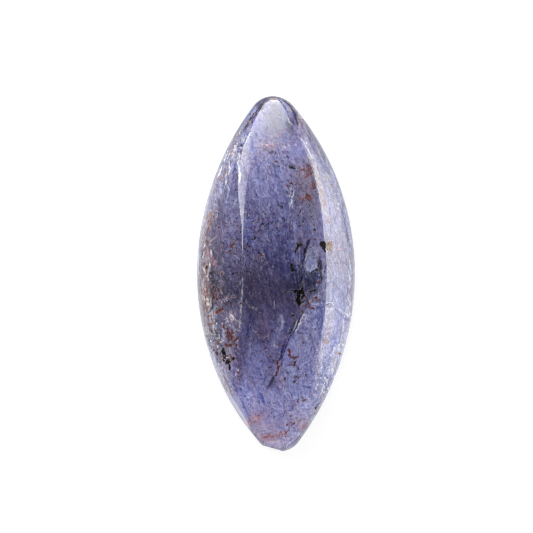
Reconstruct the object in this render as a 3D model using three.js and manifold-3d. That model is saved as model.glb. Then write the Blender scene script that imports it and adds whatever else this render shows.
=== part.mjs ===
// A marquise tanzanite cabochon: one polished stone with a flat back, a thin girdle and a high dome.
// Millimetres. +Z is up through the dome, +Y runs towards the rounder of the two points, and the
// origin is the centre of the flat back's bounding rectangle, on the surface the stone lies on.
import * as THREE from "three";
import { mergeVertices } from "three/addons/utils/BufferGeometryUtils.js";
import Module from "manifold-3d";

// Driving dimensions of the outline, seen from above.
const length = 20.0;
const width = 8.9;
const sideRadius = 15.1; // both long sides are arcs of this radius
const tipLean = 0.18; // the two tips lean this far, each to the other side of the long axis

// Driving dimensions of the side view.
const height = 4.9;
const girdleTop = 0.62; // where the upright girdle ends and the dome begins
const backBevel = 0.26; // 45 degree bevel round the flat back
const tipDrop = 0.92; // below 1, the dome keeps more of its height towards the tips

// Two small flats left by polishing, each as the plane that trims the stone. The plan angle is that
// of the outward normal, counter-clockwise from +X; rise is how far the normal tips up.
const flats = [
  { planAngle: 254, rise: 4, offset: 9.52 }, // blunt end of the lower tip
  { planAngle: 212.5, rise: 12, offset: 6.03 }, // long flat beside the lower tip, left of the dome
];

// Facets of the model.
const stepsAlongSide = 40;
const stepsRoundTip = 18;
const domeRings = 17;

const halfLength = length / 2;
const halfWidth = width / 2;
const domeRise = height - girdleTop;
const sideCentre = sideRadius - halfWidth; // how far past the axis a side arc's centre lies
const tipRadius =
  (sideRadius ** 2 - sideCentre ** 2 - halfLength ** 2) / (2 * sideRadius - length);
const tipCentre = halfLength - tipRadius;
const tangentAngle = Math.atan2(tipCentre, sideCentre); // normal angle where side and tip meet

// Half the width of the outline at a distance y along the axis.
function halfWidthAt(y) {
  const along = Math.abs(y);
  if (along < sideRadius * Math.sin(tangentAngle))
    return Math.sqrt(sideRadius ** 2 - along ** 2) - sideCentre;
  return Math.sqrt(Math.max(tipRadius ** 2 - (along - tipCentre) ** 2, 0));
}

// The outline as [x, y, normal angle], counter-clockwise: right side, top tip, left side, bottom tip.
// Each arc is centred on the direction it faces and spreads as far to both sides of it.
function outline() {
  const tipSpread = Math.PI / 2 - tangentAngle;
  const side = { radius: sideRadius, spread: tangentAngle, steps: stepsAlongSide };
  const tip = { radius: tipRadius, spread: tipSpread, steps: stepsRoundTip };
  const arcs = [
    { ...side, x: -sideCentre, y: 0, facing: 0 },
    { ...tip, x: 0, y: tipCentre, facing: Math.PI / 2 },
    { ...side, x: sideCentre, y: 0, facing: Math.PI },
    { ...tip, x: 0, y: -tipCentre, facing: (3 * Math.PI) / 2 },
  ];
  const points = [];
  for (const { x, y, radius, spread, steps, facing } of arcs)
    for (let i = 0; i < steps; i++) {
      const angle = facing - spread + (2 * spread * i) / steps;
      points.push([x + radius * Math.cos(angle), y + radius * Math.sin(angle), angle]);
    }
  return points;
}

// Height of the dome above the point (x, y) of the upright outline.
function domeHeight(x, y) {
  const half = halfWidthAt(y);
  if (half === 0) return girdleTop;
  const crown = domeRise * (half / halfWidth) ** tipDrop;
  return girdleTop + crown * Math.sqrt(Math.max(1 - (x / half) ** 2, 0));
}

// The tips lean by a cubic of y, so the long sides stay as they are.
function lean(x, y, z) {
  return [x - tipLean * (y / halfLength) ** 3, y, z];
}

// Rings of points from the flat back up to the last ring below the top of the dome.
function rings(points) {
  const back = points.map(([x, y, angle]) =>
    lean(x - backBevel * Math.cos(angle), y - backBevel * Math.sin(angle), 0),
  );
  const girdleFoot = points.map(([x, y]) => lean(x, y, backBevel));
  const girdle = points.map(([x, y]) => lean(x, y, girdleTop));
  const dome = [];
  for (let k = 1; k < domeRings; k++) {
    const scale = Math.cos((Math.PI / 2) * (k / domeRings));
    dome.push(points.map(([x, y]) => lean(x * scale, y * scale, domeHeight(x * scale, y * scale))));
  }
  return [back, girdleFoot, girdle, ...dome];
}

// One closed surface: strips between the rings, a fan over the back and a fan over the top.
function stoneGeometry() {
  const loops = rings(outline());
  const count = loops[0].length;
  const positions = loops.flat(2);
  const backCentre = loops.length * count;
  const top = backCentre + 1;
  positions.push(0, 0, 0, 0, 0, height);
  const faces = [];
  for (let i = 0; i < count; i++) {
    const next = (i + 1) % count;
    faces.push(backCentre, next, i);
    for (let k = 0; k + 1 < loops.length; k++) {
      const low = k * count;
      const high = low + count;
      faces.push(low + i, low + next, high + next);
      faces.push(low + i, high + next, high + i);
    }
    const last = (loops.length - 1) * count;
    faces.push(last + i, last + next, top);
  }
  const geometry = new THREE.BufferGeometry();
  geometry.setAttribute("position", new THREE.Float32BufferAttribute(positions, 3));
  geometry.setIndex(faces);
  return geometry;
}

// A block whose inner face lies on the plane of a flat, big enough to take off all beyond it.
function trimBlock({ planAngle, rise, offset }) {
  const plan = THREE.MathUtils.degToRad(planAngle);
  const up = THREE.MathUtils.degToRad(rise);
  const normal = new THREE.Vector3(
    Math.cos(up) * Math.cos(plan),
    Math.cos(up) * Math.sin(plan),
    Math.sin(up),
  );
  const geometry = new THREE.BoxGeometry(length, length, length);
  geometry.applyQuaternion(
    new THREE.Quaternion().setFromUnitVectors(new THREE.Vector3(1, 0, 0), normal),
  );
  const centre = normal.multiplyScalar(offset + length / 2);
  return geometry.translate(centre.x, centre.y, centre.z);
}

const wasm = await Module();
wasm.setup();

function toSolid(geometry) {
  geometry.deleteAttribute("normal");
  geometry.deleteAttribute("uv");
  const merged = mergeVertices(geometry);
  return new wasm.Manifold(
    new wasm.Mesh({
      numProp: 3,
      vertProperties: merged.attributes.position.array,
      triVerts: new Uint32Array(merged.index.array),
    }),
  );
}

function toGeometry(solid) {
  const mesh = solid.getMesh();
  const geometry = new THREE.BufferGeometry();
  geometry.setAttribute("position", new THREE.BufferAttribute(mesh.vertProperties, 3));
  geometry.setIndex(new THREE.BufferAttribute(mesh.triVerts, 1));
  geometry.computeVertexNormals();
  return geometry;
}

// Moves the stone so that the middle of its bounding rectangle is on the Z axis.
function centreOnAxis(geometry) {
  geometry.computeBoundingBox();
  const centre = geometry.boundingBox.getCenter(new THREE.Vector3());
  return geometry.translate(-centre.x, -centre.y, 0);
}

let stone = toSolid(stoneGeometry());
for (const flat of flats) stone = stone.subtract(toSolid(trimBlock(flat)));

const cabochon = new THREE.Mesh(
  centreOnAxis(toGeometry(stone)),
  new THREE.MeshStandardMaterial({ color: 0x6f6fa6, roughness: 0.06, metalness: 0 }),
);
cabochon.name = "cabochon";

const part = new THREE.Group();
part.add(cabochon);

export default part;
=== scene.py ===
import math

import bmesh
import bpy
import numpy as np
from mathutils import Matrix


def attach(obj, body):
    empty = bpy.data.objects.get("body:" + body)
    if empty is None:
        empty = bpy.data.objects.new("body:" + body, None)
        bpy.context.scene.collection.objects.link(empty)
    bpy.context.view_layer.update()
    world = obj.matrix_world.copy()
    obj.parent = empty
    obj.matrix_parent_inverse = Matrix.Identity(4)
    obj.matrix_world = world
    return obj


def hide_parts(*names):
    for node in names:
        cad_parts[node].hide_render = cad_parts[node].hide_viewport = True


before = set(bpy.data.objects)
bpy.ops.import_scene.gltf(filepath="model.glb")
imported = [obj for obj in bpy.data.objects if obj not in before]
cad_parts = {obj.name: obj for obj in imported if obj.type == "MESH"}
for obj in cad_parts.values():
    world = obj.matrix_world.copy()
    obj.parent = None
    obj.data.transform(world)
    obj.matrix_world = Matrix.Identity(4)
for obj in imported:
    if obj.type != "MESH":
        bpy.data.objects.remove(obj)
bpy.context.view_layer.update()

mm = 0.001  # shapes are worked out in millimetres and stored in metres
photoSide = 533  # the photograph is this many pixels wide and high

# Where the stone lies in the photograph, in its pixels.
photo = {
    "centre": (276.0, 273.75),  # middle of the stone
    "perMm": 17.775,  # pixels to a millimetre at the girdle
    "lens": 300.0,
    "sensor": 36.0,
}

# The stone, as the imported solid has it.
stone = {
    "length": 20.0,
    "width": 8.9,
    "sideRadius": 15.1,
    "tipLean": 0.18,
    "height": 4.9,
    "girdleTop": 0.62,
    "backBevel": 0.26,
    "tipDrop": 0.92,
    # plan angle and rise of each polishing flat's normal in degrees, and its distance from the middle
    "flats": [(254.0, 4.0, 9.52), (212.5, 12.0, 6.03)],
    "rows": 368,  # of the dome's grid, from tip to tip
    "columns": 246,  # from rim to rim over the top
    "backRings": 6,
    "creaseAngle": 8.0,
}
refraction = 1.69  # of tanzanite

across = photoSide / photo["perMm"]
cameraHeight = across * photo["lens"] / photo["sensor"] + stone["girdleTop"]
cameraX = (photoSide / 2 - photo["centre"][0]) / photo["perMm"]
cameraY = (photo["centre"][1] - photoSide / 2) / photo["perMm"]

halfLength = stone["length"] / 2
halfWidth = stone["width"] / 2
sideCentre = stone["sideRadius"] - halfWidth
tipRadius = (stone["sideRadius"] ** 2 - sideCentre**2 - halfLength**2) / (
    2 * stone["sideRadius"] - stone["length"]
)
tipCentre = halfLength - tipRadius
tangentAngle = math.atan2(tipCentre, sideCentre)
domeRise = stone["height"] - stone["girdleTop"]


# Half the outline's width: the side arc's circle, or past its end the tip's smaller circle.
def halfWidthAt(y):
    along = np.abs(y)
    side = np.sqrt(np.maximum(stone["sideRadius"] ** 2 - along**2, 0)) - sideCentre
    tip = np.sqrt(np.maximum(tipRadius**2 - (along - tipCentre) ** 2, 0))
    return np.where(along < stone["sideRadius"] * math.sin(tangentAngle), side, tip)


# Height of the upright dome: an ellipse across, whose crown follows the half width to a power.
def domeHeight(x, y):
    half = np.maximum(halfWidthAt(y), 1e-6)
    crown = domeRise * (half / halfWidth) ** stone["tipDrop"]
    return stone["girdleTop"] + crown * np.sqrt(np.maximum(1 - (x / half) ** 2, 0))


# Sideways shift of the upright shape at y: a cubic, so that only the tips lean.
def leanAt(y):
    return -stone["tipLean"] * (y / halfLength) ** 3


# Normal angles of the outline's right side from the lower tip to the upper one: a tip arc, the side arc
# and a tip arc, each with steps in proportion to its turn and a power of its radius.
def sideAngles(count):
    turns = [math.pi / 2 - tangentAngle, 2 * tangentAngle, math.pi / 2 - tangentAngle]
    weights = np.array(turns) * np.array([tipRadius, stone["sideRadius"], tipRadius]) ** 0.8
    ends = np.round(count * np.cumsum(weights) / weights.sum())
    corners = [-math.pi / 2, -tangentAngle, tangentAngle, math.pi / 2]
    return np.interp(np.arange(count + 1), [0, *ends], corners)


# The outline's right side at a normal angle: the side arc's circle, or a tip's smaller circle.
def outlineAt(angle):
    onSide = np.abs(angle) <= tangentAngle
    radius = np.where(onSide, stone["sideRadius"], tipRadius)
    x = np.where(onSide, -sideCentre, 0.0) + radius * np.cos(angle)
    y = np.where(onSide, 0.0, np.sign(angle) * tipCentre) + radius * np.sin(angle)
    return np.maximum(x, 0.0), y


# Faces between rings of equally many points, closed round.
def ringFaces(rings, around):
    low = (np.arange(rings - 1)[:, None] * around + np.arange(around)[None, :]).ravel()
    turned = (np.arange(rings - 1)[:, None] * around + (np.arange(around) + 1) % around).ravel()
    return np.stack([low, turned, turned + around, low + around], axis=1)


# Faces of an open grid of points.
def gridFaces(rows, columns):
    corner = (np.arange(rows - 1)[:, None] * columns + np.arange(columns - 1)[None, :]).ravel()
    return np.stack([corner, corner + 1, corner + columns + 1, corner + columns], axis=1)


# Puts points in millimetres and faces into a new object.
def makePiece(name, points, faces, smooth=True):
    mesh = bpy.data.meshes.new(name)
    mesh.from_pydata((np.asarray(points) * mm).tolist(), [], [list(face) for face in faces])
    mesh.polygons.foreach_set("use_smooth", np.full(len(mesh.polygons), smooth))
    mesh.update()
    piece = bpy.data.objects.new(name, mesh)
    bpy.context.scene.collection.objects.link(piece)
    return piece


def settle(piece, material):
    piece.data.materials.clear()
    piece.data.materials.append(material)
    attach(piece, "root")


# Cuts off all beyond a plane and closes the cut with one flat face.
def trim(mesh, planAngle, rise, offset):
    plan, up = math.radians(planAngle), math.radians(rise)
    normal = (math.cos(up) * math.cos(plan), math.cos(up) * math.sin(plan), math.sin(up))
    cut = bmesh.new()
    cut.from_mesh(mesh)
    everything = list(cut.verts) + list(cut.edges) + list(cut.faces)
    bmesh.ops.bisect_plane(
        cut,
        geom=everything,
        plane_co=[offset * mm * axis for axis in normal],
        plane_no=normal,
        clear_outer=True,
    )
    rim = [edge for edge in cut.edges if edge.is_boundary]
    closing = bmesh.ops.contextual_create(cut, geom=rim)["faces"]
    bmesh.ops.triangulate(cut, faces=closing)
    cut.to_mesh(mesh)
    cut.free()


# The stone's skin. The dome is a grid: rows run across from rim to rim over the top, as half ellipses,
# and end in one point at each tip. Under its rim come the girdle, the bevel and rings over the back.
def makeStone():
    rows, columns = stone["rows"], stone["columns"]
    angle = sideAngles(rows)
    half, y = outlineAt(angle)
    turn = np.linspace(-math.pi / 2, math.pi / 2, columns + 1)
    crown = domeRise * (half / halfWidth) ** stone["tipDrop"]
    x = (half[:, None] * np.sin(turn))[1:-1]
    z = stone["girdleTop"] + (crown[:, None] * np.cos(turn))[1:-1]
    grid = np.stack([x, np.broadcast_to(y[1:-1, None], x.shape), z], axis=-1).reshape(-1, 3)
    tips = [[0, y[0], stone["girdleTop"]], [0, y[-1], stone["girdleTop"]]]
    lowTip = len(grid)
    topTip = lowTip + 1
    width = columns + 1
    firstRow = np.arange(columns)
    lastRow = firstRow + (rows - 2) * width
    quads = gridFaces(rows - 1, width).tolist()
    fans = np.stack([np.full(columns, lowTip), firstRow + 1, firstRow], axis=1).tolist()
    fans += np.stack([np.full(columns, topTip), lastRow, lastRow + 1], axis=1).tolist()
    inner = np.arange(rows - 1)
    rim = np.concatenate([[lowTip], inner * width + columns, [topTip], inner[::-1] * width])
    facing = np.concatenate([angle, math.pi - angle[-2:0:-1]])
    domePoints = np.vstack([grid, tips])
    rimX, rimY = domePoints[rim, 0], domePoints[rim, 1]
    around = len(rim)
    backX = rimX - stone["backBevel"] * np.cos(facing)
    backY = rimY - stone["backBevel"] * np.sin(facing)
    rings = []
    for share in np.arange(1, stone["backRings"] + 1) / stone["backRings"]:
        rings.append([backX * share, backY * share, np.zeros(around)])
    rings.append([rimX, rimY, np.full(around, stone["backBevel"])])
    base = len(domePoints)
    lower = np.array(rings).transpose(0, 2, 1).reshape(-1, 3)
    points = np.vstack([domePoints, lower, [0, 0, 0]])
    points[:, 0] += leanAt(points[:, 1])
    sides = (ringFaces(len(rings), around) + base).tolist()
    here = np.arange(around)
    after = (here + 1) % around
    last = base + (len(rings) - 1) * around
    sides += np.stack([last + here, last + after, rim[after], rim[here]], axis=1).tolist()
    backFan = np.stack([np.full(around, len(points) - 1), base + after, base + here], axis=1).tolist()
    piece = makePiece("polishedStone", points, quads + fans + sides + backFan)
    for planAngle, rise, offset in stone["flats"]:
        trim(piece.data, planAngle, rise, offset)
    corners = np.empty(len(piece.data.vertices) * 3, np.float32)
    piece.data.vertices.foreach_get("co", corners)
    corners = corners.reshape(-1, 3)
    middle = (corners.min(axis=0) + corners.max(axis=0)) / 2
    corners[:, :2] -= middle[:2]
    piece.data.vertices.foreach_set("co", corners.ravel())
    piece.data.polygons.foreach_set("use_smooth", np.full(len(piece.data.polygons), True))
    piece.data.set_sharp_from_angle(angle=math.radians(stone["creaseAngle"]))
    piece.data.update()
    return piece


# Places on the dome, in millimetres, that the camera sees at these pixels of the photograph. Higher
# places are nearer the camera, so they lie closer to its axis than at the girdle.
def fromPhoto(pixels):
    pixels = np.asarray(pixels, float).reshape(-1, 2)
    girdleX = (pixels[:, 0] - photo["centre"][0]) / photo["perMm"]
    girdleY = (photo["centre"][1] - pixels[:, 1]) / photo["perMm"]
    x, y = girdleX, girdleY
    for _ in range(3):
        rise = domeHeight(x - leanAt(y), y) - stone["girdleTop"]
        nearer = 1 - rise / (cameraHeight - stone["girdleTop"])
        x = cameraX + (girdleX - cameraX) * nearer
        y = cameraY + (girdleY - cameraY) * nearer
    return x, y


# True where a place lies well inside the outline.
def wellInside(x, y):
    return np.abs(x - leanAt(y)) / np.maximum(halfWidthAt(y), 1e-6) < 0.95


# Photograph pixels at which points of the dome show.
def toPhoto(points):
    x, y, z = np.asarray(points).T
    nearer = 1 - (z - stone["girdleTop"]) / (cameraHeight - stone["girdleTop"])
    girdleX = cameraX + (x - cameraX) / nearer
    girdleY = cameraY + (y - cameraY) / nearer
    return photo["centre"][0] + girdleX * photo["perMm"], photo["centre"][1] - girdleY * photo["perMm"]


# The point that shows at (x, y) from straight above, at a depth under the dome: the line of sight is
# bent by Snell's law where it meets the surface, then followed down for that depth.
def under(x, y, depth):
    step = 0.01
    upright = x - leanAt(y)
    height = domeHeight(upright, y)
    slopeX = (domeHeight(upright + step, y) - domeHeight(upright - step, y)) / (2 * step)
    slopeY = (domeHeight(upright, y + step) - domeHeight(upright, y - step)) / (2 * step)
    normal = np.stack([-slopeX, -slopeY, np.ones_like(slopeX)], axis=-1)
    normal /= np.linalg.norm(normal, axis=-1, keepdims=True)
    cosine = normal[..., 2:3]
    bent = np.sqrt(1 - (1 - cosine**2) / refraction**2)
    sight = np.array([0.0, 0.0, -1.0]) / refraction + (cosine / refraction - bent) * normal
    surface = np.stack([x, y, height], axis=-1)
    return surface + np.asarray(depth)[..., None] * sight


# A socket whose sums, differences and products add Math nodes.
class Value:
    def __init__(self, finish, socket):
        self.finish = finish
        self.socket = socket

    def maths(self, operation, *terms, clamp=False):
        sockets = dict(enumerate(terms))
        return self.finish.node("Math", {"operation": operation, "use_clamp": clamp}, sockets)

    def __add__(self, other):
        return self.maths("ADD", self, other)

    def __sub__(self, other):
        return self.maths("SUBTRACT", self, other)

    def __rsub__(self, other):
        return self.maths("SUBTRACT", other, self)

    def __mul__(self, other):
        return self.maths("MULTIPLY", self, other)

    __radd__ = __add__
    __rmul__ = __mul__

    def clamped(self):
        return self.maths("ADD", self, 0.0, clamp=True)


# A material and its nodes.
class Finish:
    def __init__(self, name):
        self.material = bpy.data.materials.new(name)
        self.material.use_nodes = True
        self.tree = self.material.node_tree
        self.tree.nodes.clear()
        self.out = self.tree.nodes.new("ShaderNodeOutputMaterial")
        whole = self.node("TexCoord", {}, {}, "Object")
        self.place = self.node("VectorMath", {"operation": "SCALE"}, {0: whole, "Scale": 1 / mm})

    # A node of a kind, its settings, then the values or links of its sockets; gives one output.
    def node(self, kind, settings, sockets, output=0):
        made = self.tree.nodes.new("ShaderNode" + kind)
        for name, value in settings.items():
            setattr(made, name, value)
        for key, value in sockets.items():
            if isinstance(value, Value):
                self.tree.links.new(value.socket, made.inputs[key])
            else:
                made.inputs[key].default_value = value
        return Value(self, made.outputs[output])

    # The place in millimetres, turned about Z and stretched.
    def turned(self, degrees=0.0, stretch=(1.0, 1.0, 1.0)):
        sockets = {"Vector": self.place, "Rotation": (0, 0, math.radians(degrees))}
        rotated = self.node("Mapping", {"vector_type": "POINT"}, sockets)
        return self.node("VectorMath", {"operation": "MULTIPLY"}, {0: rotated, 1: stretch})

    def noise(self, vector, scale, detail=2.0, roughness=0.5, distortion=0.0):
        sockets = {
            "Vector": vector,
            "Scale": scale,
            "Detail": detail,
            "Roughness": roughness,
            "Distortion": distortion,
        }
        return self.node("TexNoise", {}, sockets, "Fac")

    # Rises from 0 to 1 as the value goes from low to high.
    def band(self, value, low, high):
        sockets = {"Value": value, "From Min": low, "From Max": high}
        return self.node("MapRange", {"interpolation_type": "SMOOTHSTEP"}, sockets)

    def blend(self, factor, first, second, mode="MIX"):
        settings = {"data_type": "RGBA", "blend_type": mode, "clamp_factor": True}
        first = (*first, 1.0) if isinstance(first, tuple) and len(first) == 3 else first
        second = (*second, 1.0) if isinstance(second, tuple) and len(second) == 3 else second
        return self.node("Mix", settings, {0: factor, 6: first, 7: second}, 2)

    # A value stored on the points of the mesh.
    def stored(self, name, output="Fac"):
        return self.node("Attribute", {"attribute_name": name}, {}, output)

    def surface(self, value):
        self.tree.links.new(value.socket, self.out.inputs["Surface"])

    def volume(self, value):
        self.tree.links.new(value.socket, self.out.inputs["Volume"])


# Violet-blue crystal: clear, absorbing with depth, with zoned and streaked colour.
crystal = {
    "absorbed": (0.414, 0.42, 0.263),  # of red, green and blue light, for each millimetre
    "roughness": 0.03,
    "streakTurn": -12.0,
    # the noises: stretch of the place, then scale, detail, roughness and distortion
    "streaks": ((1.0, 0.13, 0.3), 5.0, 6.0, 0.62, 0.5),
    "mottle": ((1.0, 1.0, 1.0), 2.2, 5.0, 0.66, 0.6),
    "grain": ((1.0, 0.55, 0.7), 8.0, 3.0, 0.75, 0.4),
    "drift": ((1.0, 0.25, 0.4), 1.3, 5.0, 0.62, 0.8),
    "clouds": ((1.0, 1.0, 1.0), 3.4, 3.0, 0.6, 0.6),
    "veins": ((1.0, 0.22, 0.4), 2.6, 4.0, 0.6, 1.2),
    "threads": ((1.0, 0.16, 0.3), 4.5, 4.0, 0.6, 1.0),
    "shades": ((0.155, 0.135, 0.27), (1.0, 1.0, 1.0)),
    "hues": ((0.78, 0.90, 0.94), (1.0, 0.88, 0.74)),
    "calmShade": (0.62, 0.60, 0.70),
    "veinShade": (0.12, 0.12, 0.38),
    "speckShade": (0.03, 0.012, 0.025),
    "crackShade": (0.08, 0.10, 0.36),
    "lineWidth": 0.0004,  # of veins and threads, as the square of a noise's distance from its middle
    "cells": 4.6,  # scale of the grid that holds the specks
    "crackles": 1.8,  # scale of the crackled cells
    "pits": 22.0,
    "bump": (0.012, 0.00001),  # strength and depth in metres
    "milk": (0.62, 0.63, 0.85),
    "paintedGlow": 0.45,  # of milk, from light that comes up through the crystal
    # the milk glows a little: painted light standing in for light that comes up through the crystal
    "calm": 0.15,
    "groundBack": 0.5,  # roughness of the flat back and its bevel
    # a darker blue line just inside the rim: painted edge shade
    "paintedRimShade": (0.947, 0.010, (0.62, 0.66, 0.88)),  # share of the half width, its spread and its tint
    # a pale blue milky veil over the rim: painted edge light
    "paintedRimLight": (0.955, 0.985, 0.16, (0.42, 0.46, 0.80)),  # where it begins and is full, how dense, colour
}

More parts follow.
